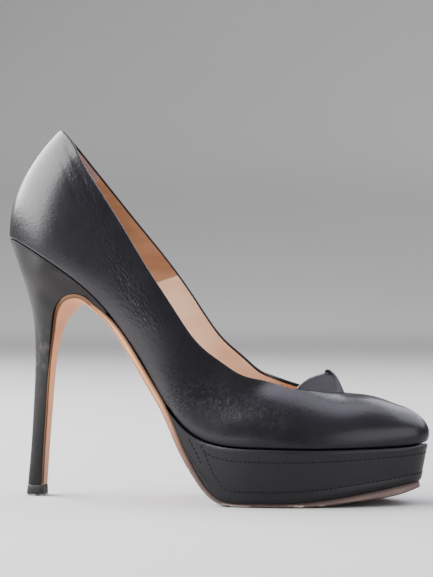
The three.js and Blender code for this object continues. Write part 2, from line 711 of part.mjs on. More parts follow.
function heel() {
  const skin = new Skin();
  const wingSole = inverse((s) => -soleX(s), -WING_TIP, 0, soleKnots[BREAST_FROM]);
  const around = STATIONS.filter((u) => u <= WING).reverse().map((u) => 1 - u / WING);
  // The first level is the seat itself.
  const level = (side, t) => {
    if (t === 0) return around.map((w) => featherPoint(side, WING * (1 - w), 0, GAP));
    const s = lerp(wingSole, SOLE_END, heelBreast(t));
    const front = point(soleX(s), 0, soleZ(s)).addScaledVector(soleDown(s), -GAP);
    const seat = clamp(heelSeat(t), 0, 1);
    return around.map((w) => {
      const u = WING * (1 - w);
      const seatZ = footZ(u) - footZ(WING);
      const seatShare = clamp((WING_TIP - footX(u)) / (WING_TIP - footX(0)), 0, 1);
      const share = lerp(Math.sin((w * Math.PI) / 2), seatShare, seat);
      const round = soleHalf(side, s) * Math.cos((w * Math.PI) / 2);
      const half = w === 1 ? 0 : lerp(round, footHalf[side](u), seat);
      const sag = seatZ - (footZ(0) - footZ(WING)) * seatShare;
      return point(
        lerp(front.x, heelBackX(t), share),
        SIDES[side] * half,
        lerp(front.z, heelBackZ(t), share) + sag * seat ** 2,
      );
    });
  };
  const lateral = steps(HEEL_LEVELS).map((t) => level("lateral", t));
  const medial = steps(HEEL_LEVELS).map((t) => level("medial", t));
  const across = (i) => lateral[i].map((at, j) => [at, medial[i][j]]);
  skin.grid(lateral);
  skin.grid(medial, true);
  skin.grid(lateral.map((row, i) => [medial[i][0], row[0]]));
  skin.grid(across(0));
  skin.grid(across(HEEL_LEVELS), true);
  return skin.geometry();
}

// Top piece: the lift under the heel

const TIP_STEPS = 16;

function topPiece() {
  const front = HEEL_TIP_X + HEEL_TIP_LENGTH;
  const outline = (grow) => {
    const half = HEEL_TIP_WIDTH / 2 + grow;
    const depth = HEEL_TIP_LENGTH + grow;
    return steps(TIP_STEPS).map((t) => {
      const angle = Math.PI * (t - 0.5);
      return point(front - depth * Math.cos(angle), half * Math.sin(angle), 0);
    });
  };
  const skin = new Skin();
  const bottom = outline(TOP_PIECE_FLARE);
  const top = outline(0).map((at) => at.setZ(TOP_PIECE_HEIGHT));
  skin.grid([top, bottom]);
  skin.face(...top);
  skin.face(...bottom.slice().reverse());
  skin.face(top[0], top[top.length - 1], bottom[bottom.length - 1], bottom[0]);
  return skin.geometry();
}

// Assembly

const LOOKS = {
  blackLeather: { color: 0x1b1a1d, roughness: 0.32 },
  blackCover: { color: 0x1d1c1d, roughness: 0.36 },
  tanLeather: { color: 0xc79a78, roughness: 0.55 },
  sock: { color: 0xc9a283, roughness: 0.6 },
  blackRubber: { color: 0x161616, roughness: 0.6 },
};

const shoe = new THREE.Group();

function add(name, geometry, look) {
  const mesh = new THREE.Mesh(geometry, new THREE.MeshStandardMaterial({ ...LOOKS[look], metalness: 0 }));
  mesh.name = name;
  shoe.add(mesh);
}

add("upper", upper(), "blackLeather");
add("throat_tab", throatTab(), "blackLeather");
add("insole", insole(), "sock");
add("platform", platform(), "blackCover");
add("outsole", outsole(), "tanLeather");
add("heel", heel(), "blackCover");
add("top_piece", topPiece(), "blackRubber");

// The origin is the middle of the footprint's box, on the floor.
const box = new THREE.Box3().setFromObject(shoe);
shoe.position.set(-(box.min.x + box.max.x) / 2, -(box.min.y + box.max.y) / 2, -box.min.z);

const group = new THREE.Group();
group.add(shoe);

export default group;
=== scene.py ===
# A right platform pump in black calf leather on a stiletto heel, standing empty on the floor.
# Shapes are worked out in millimetres, x from the back of the heel to the toe, y to the medial side, z up.

import math

import bmesh
import bpy
import numpy as np
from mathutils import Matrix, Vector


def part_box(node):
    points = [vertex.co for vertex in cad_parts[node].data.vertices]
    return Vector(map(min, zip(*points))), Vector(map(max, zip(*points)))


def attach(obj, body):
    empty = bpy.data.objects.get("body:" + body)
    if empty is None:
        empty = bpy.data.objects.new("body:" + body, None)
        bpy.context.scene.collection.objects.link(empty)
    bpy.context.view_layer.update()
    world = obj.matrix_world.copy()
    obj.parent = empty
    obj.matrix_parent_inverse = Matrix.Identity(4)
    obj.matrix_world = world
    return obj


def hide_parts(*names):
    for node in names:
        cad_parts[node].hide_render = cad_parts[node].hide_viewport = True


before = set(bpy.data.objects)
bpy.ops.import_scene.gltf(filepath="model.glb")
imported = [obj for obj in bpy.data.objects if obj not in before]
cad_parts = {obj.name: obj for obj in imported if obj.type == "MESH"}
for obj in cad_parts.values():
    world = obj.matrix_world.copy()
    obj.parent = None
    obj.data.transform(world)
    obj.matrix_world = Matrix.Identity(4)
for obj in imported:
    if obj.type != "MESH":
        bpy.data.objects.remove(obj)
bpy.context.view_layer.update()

# Upper: one piece of smooth black calf, cut low at the throat and lasted over a stiff counter. It has a tan
# leather lining with a suede grip at the heel, and its topline is folded over to the inside.

LENGTH = 224.5
BALL_WIDTH = 76
HEEL_HEIGHT = 137
PLATFORM_HEIGHT = 29.2
BACK_HEIGHT = 57
WALL = 1.8
GAP = 0.3

RIB_COLUMNS = ("x", "rise", "lateral", "medial", "ahead", "up", "half", "medial_up")
RIB_COLUMNS += ("low", "follow", "low_out", "high", "high_out")
RIBS = [
    (0.005, 1.0, 0, 0, 0.474, 1.0, 0, 0, 0.35, 0, 0.008, 0.31, 0.138),  # back
    (0.027, 0.99, 0.164, 0.164, 0.456, 0.991, 0.072, -0.026, 0.35, 0.15, 0.012, 0.31, 0.133),
    (0.062, 0.959, 0.247, 0.247, 0.419, 0.949, 0.138, -0.045, 0.35, 0.5, 0.018, 0.31, 0.094),
    (0.111, 0.901, 0.308, 0.305, 0.318, 0.907, 0.197, -0.034, 0.35, 0.9, 0.022, 0.32, 0.058),
    (0.169, 0.822, 0.332, 0.326, 0.254, 0.811, 0.239, -0.014, 0.35, 1, 0.022, 0.33, 0.042),
    (0.232, 0.716, 0.324, 0.313, 0.237, 0.668, 0.267, 0.018, 0.35, 1, 0.022, 0.33, 0.034),  # waist
    (0.294, 0.567, 0.313, 0.292, 0.228, 0.574, 0.289, 0.071, 0.35, 1, 0.022, 0.33, 0.03),
    (0.356, 0.377, 0.322, 0.289, 0.246, 0.547, 0.311, 0.08, 0.35, 1, 0.026, 0.33, 0.032),
    (0.417, 0.1735, 0.362, 0.329, 0.26, 0.586, 0.32, 0.076, 0.35, 1, 0.03, 0.33, 0.044),
    (0.481, 0.053, 0.425, 0.401, 0.237, 0.639, 0.32, 0.057, 0.36, 1, 0.034, 0.33, 0.07),  # ball
    (0.561, 0.009, 0.489, 0.463, 0.184, 0.596, 0.303, 0.011, 0.4, 0.6, 0.034, 0.3, 0.11),
    (0.65, 0.003, 0.505, 0.495, 0.105, 0.535, 0.263, 0, 0.45, 0.3, 0.032, 0, 0),
    (0.731, 0, 0.474, 0.478, 0.061, 0.495, 0.193, 0, 0.48, 0, 0.03, 0, 0),
    (0.802, 0, 0.412, 0.425, 0, 0.479, 0, 0, 0.48, 0, 0.03, 0, 0.23),  # throat
    (0.864, 0.002, 0.332, 0.353, -0.061, 0.458, 0, 0, 0.46, 0, 0.034, 0, 0.2),
    (0.918, 0.005, 0.245, 0.263, -0.114, 0.416, 0, 0, 0.44, 0, 0.044, 0, 0.17),
    (0.96, 0.008, 0.149, 0.157, -0.158, 0.367, 0, 0, 0.42, 0, 0.052, 0, 0.14),
    (0.99, 0.016, 0, 0, -0.216, 0.332, 0, 0, 0.4, 0, 0.076, 0, 0.115),  # tip of the toe
]
RIBS = [dict(zip(RIB_COLUMNS, row)) for row in RIBS]
THROAT_ROW = 13
CUT_FROM = 10  # the first rib whose end the opening cuts off
CUTS = [
    dict(zip(("cut", "reach_x", "reach_in", "reach_up"), row))
    for row in ((0, 0, 0, 0), (0.18, 0.079, 0.132, 0.04), (0.22, 0.046, 0.147, 0.024), (0, 0, 0, 0))
]
SIDES = {"lateral": -1, "medial": 1}
LIFT_WAY = np.array((0.83, 0.56)) / math.hypot(0.83, 0.56)


def spline(knots, values, flat_start=False, flat_end=False):
    """A cubic spline through values at knots, level at the ends that are flat."""
    knots, values = np.array(knots, float), np.array(values, float)
    last = len(knots) - 1
    span = np.diff(knots)
    rate = np.diff(values) / span
    lines = np.zeros((last + 1, last + 1))
    turn = np.zeros(last + 1)
    lines[0, 0] = lines[last, last] = 1
    if flat_start:
        lines[0, :2] = span[0] / 3, span[0] / 6
        turn[0] = rate[0]
    if flat_end:
        lines[last, last - 1 :] = span[-1] / 6, span[-1] / 3
        turn[last] = -rate[-1]
    for i in range(1, last):
        lines[i, i - 1 : i + 2] = span[i - 1] / 6, (span[i - 1] + span[i]) / 3, span[i] / 6
        turn[i] = rate[i] - rate[i - 1]
    bend = np.linalg.solve(lines, turn)

    def curve(t):
        at = np.clip(t, knots[0], knots[-1])
        i = np.clip(np.searchsorted(knots, at) - 1, 0, last - 1)
        a = (knots[i + 1] - at) / span[i]
        b = 1 - a
        arc = ((a**3 - a) * bend[i] + (b**3 - b) * bend[i + 1]) * span[i] ** 2 / 6
        return a * values[i] + b * values[i + 1] + arc

    return curve


feather_x = [row["x"] * LENGTH for row in RIBS]
feather_z = [PLATFORM_HEIGHT + row["rise"] * (HEEL_HEIGHT - PLATFORM_HEIGHT) for row in RIBS]
KNOTS = [0.0]
for i in range(1, len(RIBS)):
    spread = (RIBS[i]["lateral"] - RIBS[i - 1]["lateral"]) * BALL_WIDTH
    step = math.hypot(feather_x[i] - feather_x[i - 1], feather_z[i] - feather_z[i - 1], spread)
    KNOTS.append(KNOTS[-1] + step)
END = KNOTS[-1]
THROAT = KNOTS[THROAT_ROW]
THROAT_SPAN = THROAT - KNOTS[CUT_FROM]
foot_x = spline(KNOTS, feather_x, True, True)
foot_z = spline(KNOTS, feather_z, True, True)
foot_half = {side: spline(KNOTS, [row[side] * BALL_WIDTH for row in RIBS]) for side in SIDES}


def outward(side, u):
    """The level way out of the shoe at places on the feather line, as x and outwards."""
    u = np.asarray(u, float)
    a, b = np.maximum(u - 0.01, 0), np.minimum(u + 0.01, END)
    run, spread = foot_x(b) - foot_x(a), foot_half[side](b) - foot_half[side](a)
    size = np.hypot(run, spread)
    out_x = np.where(a == 0, -1, np.where(b == END, 1, -spread / size))
    return out_x, np.where((a == 0) | (b == END), 0, run / size)


cut_rows = [CUTS[i - CUT_FROM] if 0 <= i - CUT_FROM < len(CUTS) else CUTS[0] for i in range(len(RIBS))]
top_x, top_z, top_half = [], [], []
for x, z, row, cut_row in zip(feather_x, feather_z, RIBS, cut_rows):
    top_x.append(x + row["ahead"] * BACK_HEIGHT + cut_row["reach_x"] * BALL_WIDTH)
    top_z.append(z + row["up"] * BACK_HEIGHT + cut_row["reach_up"] * BALL_WIDTH)
    top_half.append((row["half"] - cut_row["reach_in"]) * BALL_WIDTH)
top_half[THROAT_ROW:] = [0] * (len(RIBS) - THROAT_ROW)
head_x = spline(KNOTS, top_x, True, True)
head_z = spline(KNOTS, top_z, True, True)


def behind_throat(values):
    """A column that is zero from the throat on."""
    curve = spline(KNOTS[: THROAT_ROW + 1], values[: THROAT_ROW + 1], False, True)
    return lambda u: np.where(u < THROAT, curve(u), 0)


head_half = behind_throat(top_half)
medial_lift = behind_throat([row["medial_up"] * BACK_HEIGHT for row in RIBS])


def handles(side, i):
    """The two handles of a rib, from its foot and from its head."""
    row, cut = RIBS[i], cut_rows[i]["cut"]
    out_x, out_y = (float(value) for value in outward(side, KNOTS[i]))
    foot = np.array((feather_x[i], row[side] * BALL_WIDTH, feather_z[i]))
    head = np.array((top_x[i], top_half[i], top_z[i]))
    rib = np.array((row["ahead"], row["up"])) * BACK_HEIGHT
    low_out, high_out = row["low_out"] * BALL_WIDTH, row["high_out"] * BALL_WIDTH
    low_x = rib[0] * row["low"] * row["follow"] + out_x * low_out
    low = np.array((low_x, out_y * low_out, rib[1] * row["low"]))
    if cut > 0:
        v = 1 - cut
        topline_end = np.array((foot[0] + rib[0], row["half"] * BALL_WIDTH, foot[2] + rib[1]))
        rest = cut**3 * foot + 3 * cut**2 * v * (foot + low) + v**3 * head
        return low, (topline_end - rest) / (3 * cut * v**2) - head
    slope = 0
    if i >= THROAT_ROW:
        a = min(max(KNOTS[i] - 0.5, THROAT), END - 1)
        slope = (head_z(a + 1) - head_z(a)) / (head_x(a + 1) - head_x(a))
    high_x, high_z = -rib * row["high"] + np.array((1, slope)) * out_x * high_out
    return low, np.array((high_x, out_y * high_out, high_z))


handle_splines = {}
for side in SIDES:
    ends = [handles(side, i) for i in range(len(RIBS))]
    handle_splines[side] = [
        [spline(KNOTS, [end[which][k] for end in ends], k != 1, k != 1) for k in range(3)]
        for which in range(2)
    ]
cut_roots = [math.sqrt(THROAT - KNOTS[CUT_FROM + i]) for i in range(len(CUTS))][::-1]
cut_curve = spline(cut_roots, [row["cut"] for row in CUTS][::-1], False, True)


def top_share(u):
    """How far up its rib the topline cuts a place."""
    u = np.asarray(u, float)
    near = (u < THROAT) & (THROAT - u < THROAT_SPAN)
    return 1 - np.where(near, cut_curve(np.sqrt(np.maximum(THROAT - u, 0))), 0)


def surface(side, u, v):
    """Points of the outer surface: u along the feather line, v up the rib."""
    low, high = handle_splines[side]
    lift = medial_lift(u) if side == "medial" else 0
    foot = (foot_x(u), foot_half[side](u), foot_z(u))
    head = (head_x(u) + lift * LIFT_WAY[0], head_half(u), head_z(u) + lift * LIFT_WAY[1])
    w = 1 - v
    x, half, z = (
        w**3 * a + 3 * w**2 * v * (a + low[k](u)) + 3 * w * v**2 * (b + high[k](u)) + v**3 * b
        for k, (a, b) in enumerate(zip(foot, head))
    )
    return np.stack(np.broadcast_arrays(x, SIDES[side] * half, z), -1)


def normal(side, u, v):
    """Outward normals of that surface, with no sideways part on the middle plane."""
    d = 1e-3
    up = surface(side, u, np.minimum(v + d, 1)) - surface(side, u, np.maximum(v - d, 0))
    along = surface(side, np.minimum(u + d, END), v) - surface(side, np.maximum(u - d, 0), v)
    ahead = surface(side, np.minimum(u + d, END), v) - surface(side, np.minimum(u, END - d), v)
    out = SIDES[side] * np.cross(up, along)
    u, v = np.broadcast_arrays(u, v)
    level = np.zeros(u.shape)
    flat = np.stack((-ahead[..., 2], level, ahead[..., 0]), -1)
    out = np.where(((v == 1) & (u >= THROAT))[..., None], flat, out)
    out = np.where((u == 0)[..., None], np.stack((-up[..., 2], level, up[..., 0]), -1), out)
    out = np.where((u == END)[..., None], np.stack((up[..., 2], level, -up[..., 0]), -1), out)
    return out / np.linalg.norm(out, axis=-1, keepdims=True)


low_corner, high_corner = (np.array(corner) * 1000 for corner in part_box("top_piece"))
HEEL_TIP_FRONT = 20.3  # front of the top piece
SHIFT = np.array((high_corner[0] - HEEL_TIP_FRONT, (low_corner[1] + high_corner[1]) / 2, 0))


class Shell:
    """Grids of points that become one closed mesh."""

    def __init__(self):
        self.points, self.faces, self.slots, self.marks = [], [], [], []

    def grid(self, rows, slot=0, turned=False, marks=None):
        rows = np.asarray(rows, float)
        n, m = rows.shape[:2]
        place = np.arange(n * m).reshape(n, m) + sum(map(len, self.points))
        quads = np.stack((place[:-1, :-1], place[1:, :-1], place[1:, 1:], place[:-1, 1:]), -1).reshape(-1, 4)
        self.points.append(rows.reshape(-1, 3))
        self.marks.append(np.zeros((n * m, 6)) if marks is None else marks.reshape(-1, 6))
        self.faces.extend((quads[:, ::-1] if turned else quads).tolist())
        slots = np.broadcast_to(slot, (n - 1, m - 1)).reshape(-1)
        self.slots.extend(slots.tolist())

    def make(self, name, materials, crease=None):
        mesh = bpy.data.meshes.new(name)
        points = (np.concatenate(self.points) + SHIFT) / 1000
        mesh.from_pydata(points.tolist(), [], self.faces)
        mesh.polygons.foreach_set("material_index", self.slots)
        marks = np.concatenate(self.marks)
        for kind, columns in (("flow", marks[:, :3]), ("wear", marks[:, 3:])):
            if columns.any():
                layer = mesh.attributes.new(kind, "FLOAT_VECTOR", "POINT")
                layer.data.foreach_set("vector", columns.reshape(-1))
        work = bmesh.new()
        work.from_mesh(mesh)
        bmesh.ops.remove_doubles(work, verts=work.verts, dist=4e-6)
        bmesh.ops.dissolve_degenerate(work, edges=work.edges, dist=1e-6)
        bmesh.ops.recalc_face_normals(work, faces=work.faces)
        for face in work.faces:
            face.smooth = True
        if crease:
            for edge in work.edges:
                edge.smooth = len(edge.link_faces) == 2 and edge.calc_face_angle(0) < crease
        work.to_mesh(mesh)
        work.free()
        for material in materials:
            mesh.materials.append(material)
        piece = bpy.data.objects.new(name, mesh)
        bpy.context.scene.collection.objects.link(piece)
        return piece


def node(tree, kind, links=None, **values):
    """A node with its properties and, by input name or number, its values and links."""
    made = tree.nodes.new(kind)
    for name, value in values.items():
        setattr(made, name, value)
    for name, value in (links or {}).items():
        if isinstance(value, bpy.types.NodeSocket):
            tree.links.new(value, made.inputs[name])
        else:
            made.inputs[name].default_value = value
    return made


def ramp(tree, factor, stops):
    """A colour ramp through (place, value or colour) stops."""
    made = node(tree, "ShaderNodeValToRGB", {0: factor})
    while len(made.color_ramp.elements) < len(stops):
        made.color_ramp.elements.new(0.5)
    for element, (place, value) in zip(made.color_ramp.elements, stops):
        element.position = place
        element.color = (*value, 1) if isinstance(value, tuple) else (value, value, value, 1)
    return made.outputs[0]


def noise(tree, place, scale, detail, roughness=0.5):
    links = {"Vector": place, "Scale": scale, "Detail": detail, "Roughness": roughness}
    return node(tree, "ShaderNodeTexNoise", links).outputs[0]


def cells(tree, place, scale, feature="F1"):
    """The outputs of a pattern of cells."""
    return node(tree, "ShaderNodeTexVoronoi", {"Vector": place, "Scale": scale}, feature=feature).outputs


def laid(tree, place, turned, scale):
    """Places turned and scaled, so that a pattern lies another way."""
    return node(tree, "ShaderNodeMapping", {"Vector": place, "Rotation": turned, "Scale": scale}).outputs[0]


def along_way(tree, place, way):
    """How far places are along a way."""
    return node(tree, "ShaderNodeVectorMath", {0: place, 1: way}, operation="DOT_PRODUCT").outputs["Value"]


def ranged(tree, value, low, high, to_low=0.0, to_high=1.0):
    """A value whose range from low to high is laid on another one."""
    return node(tree, "ShaderNodeMapRange", {0: value, 1: low, 2: high, 3: to_low, 4: to_high}).outputs[0]


def times(tree, one, two):
    return node(tree, "ShaderNodeMath", {0: one, 1: two}, operation="MULTIPLY").outputs[0]


def blend(tree, share, one, two):
    """Two colours, mixed by the share of the second one."""
    return node(tree, "ShaderNodeMix", {0: share, 6: one, 7: two}, data_type="RGBA").outputs[2]


def dress(tree, shader, colour, roughness, specular=0.5):
    tree.links.new(colour, shader.inputs["Base Color"])
    shader.inputs["Roughness"].default_value = roughness
    shader.inputs["Specular IOR Level"].default_value = specular


def surface_material(name):
    material = bpy.data.materials.new(name)
    material.use_nodes = True
    tree = material.node_tree
    place = node(tree, "ShaderNodeTexCoord").outputs["Object"]
    return material, tree, tree.nodes["Principled BSDF"], place


def bumped(tree, shader, layers):
    """Stacked bumps, each a height and a depth in metres."""
    below = None
    for height, depth in layers:
        bump = node(tree, "ShaderNodeBump", {"Height": height, "Distance": depth, "Strength": 1.0})
        if below:
            tree.links.new(below, bump.inputs["Normal"])
        below = bump.outputs[0]
    tree.links.new(below, shader.inputs["Normal"])


def calf(name, colour, light, roughness):
    """Smooth black calf: fine pores, and a polish that has worn unevenly."""
    material, tree, shader, place = surface_material(name)
    cloud = noise(tree, place, 24, 5, 0.6)
    pores = cells(tree, place, 1300)["Distance"]
    grain = noise(tree, place, 520, 4)
    swell = noise(tree, place, 60, 2)
    spots = cells(tree, place, 105)
    near = ranged(tree, spots["Distance"], 0.018, 0.034, 1.0, 0.0)
    chosen = node(tree, "ShaderNodeSeparateColor", {0: spots["Color"]}).outputs[0]
    chosen = node(tree, "ShaderNodeMath", {0: chosen, 1: 0.9}, operation="GREATER_THAN").outputs[0]
    dust = times(tree, near, chosen)
    smooth = ramp(tree, cloud, ((0.35, colour), (0.7, light)))
    dusty = blend(tree, dust, smooth, (0.3, 0.29, 0.28, 1))
    tree.links.new(dusty, shader.inputs["Base Color"])
    gloss = ranged(tree, cloud, 0.3, 0.7, roughness - 0.05, roughness + 0.08)
    tree.links.new(gloss, shader.inputs["Roughness"])
    shader.inputs["Specular IOR Level"].default_value = 0.2
    shader.inputs["Coat Weight"].default_value = 0.08
    shader.inputs["Coat Roughness"].default_value = 0.2
    bumped(tree, shader, ((swell, 0.0002), (grain, 0.00008), (pores, 0.00003)))
    return material


def worn_marks(tree):
    """The shares of wear that are kept on the mesh."""
    wear = node(tree, "ShaderNodeAttribute", attribute_name="wear").outputs["Vector"]
    return node(tree, "ShaderNodeSeparateXYZ", {0: wear}).outputs


def creased(material):
    """Adds fine creases pressed in by the foot: pulled along the topline behind, a net over the ball."""
    tree = material.node_tree
    shader = tree.nodes["Principled BSDF"]
    flow = node(tree, "ShaderNodeAttribute", attribute_name="flow").outputs["Vector"]
    wear = worn_marks(tree)
    pulled = laid(tree, flow, (0, 0, 0.08), (0.22, 1, 1))
    streaks = noise(tree, pulled, 900, 3, 0.6)
    pebbles = cells(tree, laid(tree, flow, (0, 0, 0), (0.55, 1, 1)), 850, "SMOOTH_F1")[0]
    place = node(tree, "ShaderNodeTexCoord").outputs["Object"]
    bent = node(tree, "ShaderNodeTexNoise", {"Vector": place, "Scale": 120, "Detail": 2}).outputs[1]
    bent = node(tree, "ShaderNodeMix", {0: 0.01, 4: place, 5: bent}, data_type="VECTOR").outputs[1]
    net = cells(tree, laid(tree, bent, (0, 0.75, 0), (0.65, 1, 1)), 800, "DISTANCE_TO_EDGE")[0]
    net = ramp(tree, net, ((0.0, 0.0), (0.4, 1.0)))
    heights = []
    for height, mask in ((streaks, wear[0]), (pebbles, wear[0]), (net, wear[1]), (pebbles, wear[1])):
        heights.append(times(tree, height, mask))
    first = next(n for n in tree.nodes if n.type == "BUMP" and not n.inputs["Normal"].is_linked)
    below = None
    for height, depth in zip(heights, (0.00006, 0.0003, 0.00005, 0.00003)):
        bump = node(tree, "ShaderNodeBump", {"Height": height, "Distance": depth, "Strength": 1.0})
        if below:
            tree.links.new(below, bump.inputs["Normal"])
        below = bump.outputs[0]
    tree.links.new(below, first.inputs["Normal"])
    cracked = noise(tree, place, 350, 2)
    cracked = ramp(tree, cracked, ((0.42, 0.0), (0.6, 0.8)))
    line = ramp(tree, net, ((0.0, 1.0), (0.4, 0.0)))
    for mask in (cracked, wear[1]):
        line = times(tree, line, mask)
    plain = shader.inputs["Base Color"].links[0].from_socket
    lined = blend(tree, line, plain, (0.02, 0.019, 0.0215, 1))
    tree.links.new(lined, shader.inputs["Base Color"])
    return material


def lining_leather(name):
    """Tan lining: a suede grip behind, the quarter lining, and a paler vamp lining ahead, their tones holding
    painted shade on the grip and painted light on the vamp lining.
    """
    material, tree, shader, place = surface_material(name)
    cloud = noise(tree, place, 30, 3)
    fibre = noise(tree, place, 900, 3)
    drawn = laid(tree, place, (0, 0.95, 0), (0.12, 1, 1))
    streaks = noise(tree, drawn, 170, 3)
    soft = node(tree, "ShaderNodeMix", {0: 0.5, 2: cloud, 3: streaks}).outputs[0]
    colours = []
    for dark, pale in LINING_COLOURS_WITH_PAINTED_LIGHT:
        colours.append(ramp(tree, soft, ((0.38, dark), (0.62, pale))))
    edges = []
    mixed = colours[0]
    for way, seam, colour in zip(LINING_WAYS, LINING_SEAMS, colours[1:]):
        edge = ranged(tree, along_way(tree, place, way), seam - 0.0003, seam + 0.0003)
        mixed = blend(tree, edge, mixed, colour)
        edges.append(edge)
    dress(tree, shader, mixed, 0.62, 0.3)
    bumped(tree, shader, ((fibre, 0.00004), (edges[0], -0.0003), (edges[1], -0.0002)))
    return material


# The seams of the lining lie square to ways through the shoe, in metres along them.
LINING_WAYS = ((0.8, 0.0, -0.6), (0.306, 0.0, -0.952))
LINING_SEAMS = (-0.155, -0.1189)
# The lining's tones hold painted light: the vamp lining is pale for light falling in at the throat, the grip
# dark for the shade inside the counter.
LINING_COLOURS_WITH_PAINTED_LIGHT = (
    ((0.32, 0.21, 0.185), (0.45, 0.3, 0.27)),
    ((0.37, 0.19, 0.1), (0.5, 0.275, 0.16)),
    ((0.93, 0.59, 0.39), (0.98, 0.75, 0.55)),
)

upper_calf = creased(calf("upper_calf", (0.0034, 0.0031, 0.0046), (0.0052, 0.0049, 0.0072), 0.29))
lining = lining_leather("lining_leather")

# Main creases, as soft troughs and ridges seen from the side. Ends as shares of LENGTH and HEEL_HEIGHT, width
# and depth in millimetres, a ridge with its depth below zero.
CREASES = [
    dict(zip(("x0", "z0", "x1", "z1", "width", "depth"), row))
    for row in (
        (0.158, 1.345, 0.236, 1.105, 1.6, 0.1),  # along the topline behind
        (0.176, 1.32, 0.26, 1.045, 1.5, 0.09),
        (0.168, 1.3, 0.224, 1.12, 1.4, -0.06),
        (0.148, 1.29, 0.206, 1.09, 1.7, 0.07),
        (0.214, 1.15, 0.288, 0.92, 1.6, 0.07),
        (0.24, 1.02, 0.32, 0.79, 1.8, 0.05),
        (0.462, 0.455, 0.474, 0.425, 1.3, 0.05),  # over the ball
        (0.455, 0.43, 0.447, 0.38, 1.4, 0.05),
        (0.49, 0.36, 0.522, 0.31, 1.5, 0.04),
        (0.53, 0.445, 0.55, 0.375, 1.3, 0.11),
        (0.555, 0.42, 0.55, 0.35, 1.2, 0.09),
        (0.56, 0.345, 0.59, 0.332, 1.2, 0.08),
        (0.588, 0.39, 0.634, 0.325, 1.3, 0.11),
        (0.604, 0.4, 0.648, 0.365, 1.2, 0.08),
        (0.65, 0.335, 0.684, 0.295, 1.3, 0.08),
        (0.515, 0.38, 0.53, 0.31, 1.5, -0.04),
        (0.575, 0.4, 0.61, 0.35, 1.4, -0.07),
    )
]
# Fine creases, as lines seen from the side, with a reach in millimetres and a strength: behind and ahead.
FINE_CREASES = (
    ((0.2, 1.22, 0.27, 1.02, 7, 0.7), (0.25, 1.05, 0.37, 0.68, 7, 0.9)),
    ((0.45, 0.41, 0.54, 0.4, 10, 0.8), (0.54, 0.4, 0.67, 0.33, 8, 1.0)),
)
UNDER_ROUND = ((70, 1.1), (115, 2.3))  # height of the rounded edge under the upper, at places along the shoe


def beside(points, x0, z0, x1, z1):
    """How far points are from a line seen from the side, and how far along it."""
    ax, az = x0 * LENGTH, z0 * HEEL_HEIGHT
    bx, bz = x1 * LENGTH - ax, z1 * HEEL_HEIGHT - az
    x, z = points[..., 0] - ax, points[..., 2] - az
    t = np.clip((x * bx + z * bz) / (bx * bx + bz * bz), 0, 1)
    return np.hypot(x - t * bx, z - t * bz), t


def relief(points, low):
    """How far the leather stands out, in millimetres, at places some height above the feather line."""
    out = np.zeros(points.shape[:-1])
    for row in CREASES:
        away, t = beside(points, row["x0"], row["z0"], row["x1"], row["z1"])
        away = away / row["width"]
        out -= row["depth"] * np.sin(np.pi * (0.1 + 0.8 * t)) * (1 - 0.8 * away**2) * np.exp(-(away**2))
    out *= np.clip(np.abs(points[..., 1]) / 6, 0, 1)
    rounded = np.interp(points[..., 0], *zip(*UNDER_ROUND))
    edge = np.clip(1 - low / rounded, 0, 1)
    return out - rounded / 2 * (1 - np.sqrt(1 - edge**2))


def stations(step):
    """Places along the feather line, close together beside the throat."""
    quarter = np.linspace(0, KNOTS[CUT_FROM], int(KNOTS[CUT_FROM] / step))
    beside = THROAT - THROAT_SPAN * (1 - np.linspace(0, 1, 60)[1:]) ** 2
    t = np.linspace(0, 1, int((END - THROAT) / step))[1:]
    ahead = THROAT + (END - THROAT) * (0.4 * t + 0.6 * np.sin(t * np.pi / 2))
    return np.concatenate((quarter, beside, ahead))


FOOT_SHARES = np.linspace(0, 0.05, 6)[:-1]
OUTER_SHARES = np.concatenate((FOOT_SHARES, np.linspace(0.05, 0.96, 78), (0.97, 0.98, 0.99, 1)))
FOLD_SHARE = 0.986  # the leather's folded-in edge on the inside
INNER_SHARES = np.concatenate((np.linspace(0, 0.96, 14), (FOLD_SHARE, 1)))
RIM_STEPS = 6
RIM_ROUND = 0.45

shell = Shell()
places = stations(1.15)[:, None]
for side in SIDES:
    turned = side == "medial"
    v = OUTER_SHARES * top_share(places)
    base = surface(side, places, v)
    height = np.linalg.norm(base - base[:, :1], axis=-1)
    outer = base + normal(side, places, v) * relief(base, height)[..., None]
    top = np.linalg.norm(base - base[:, -1:], axis=-1)
    marks = np.zeros((*top.shape, 6))
    marks[..., 0], marks[..., 1], marks[..., 2] = places / 1000, top / 1000, SIDES[side]
    for k, lines in enumerate(FINE_CREASES):
        for *line, reach, strength in lines:
            near = strength * np.exp(-((beside(base, *line)[0] / reach) ** 2))
            marks[..., 3 + k] = np.maximum(marks[..., 3 + k], near)
    v = INNER_SHARES * top_share(places)
    inner = surface(side, places, v) - normal(side, places, v) * WALL
    shell.grid(outer, 0, turned, marks)
    shell.grid(inner, np.where(INNER_SHARES[:-1] < FOLD_SHARE, 1, 0), not turned)
    shell.grid(np.stack((inner[:, 0], outer[:, 0]), 1), 0, turned)
    opened = places[:, 0] <= THROAT
    edge, back = outer[opened, -1], inner[opened, -1]
    way = np.gradient((edge + back) / 2, axis=0)
    way[0, ::2] = 0
    way[-1, ::2] = 0
    rise = SIDES[side] * np.cross(way, edge - back)
    rise /= np.linalg.norm(rise, axis=-1, keepdims=True)
    turn = np.linspace(0, math.pi, RIM_STEPS + 1)
    rim = [(edge + back) / 2 + np.cos(a) * (edge - back) / 2 + np.sin(a) * rise * RIM_ROUND for a in turn]
    shell.grid(np.stack(rim, 1), 0, turned)
upper = shell.make("upper_shell", (upper_calf, lining))
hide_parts("upper")
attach(upper, "root")
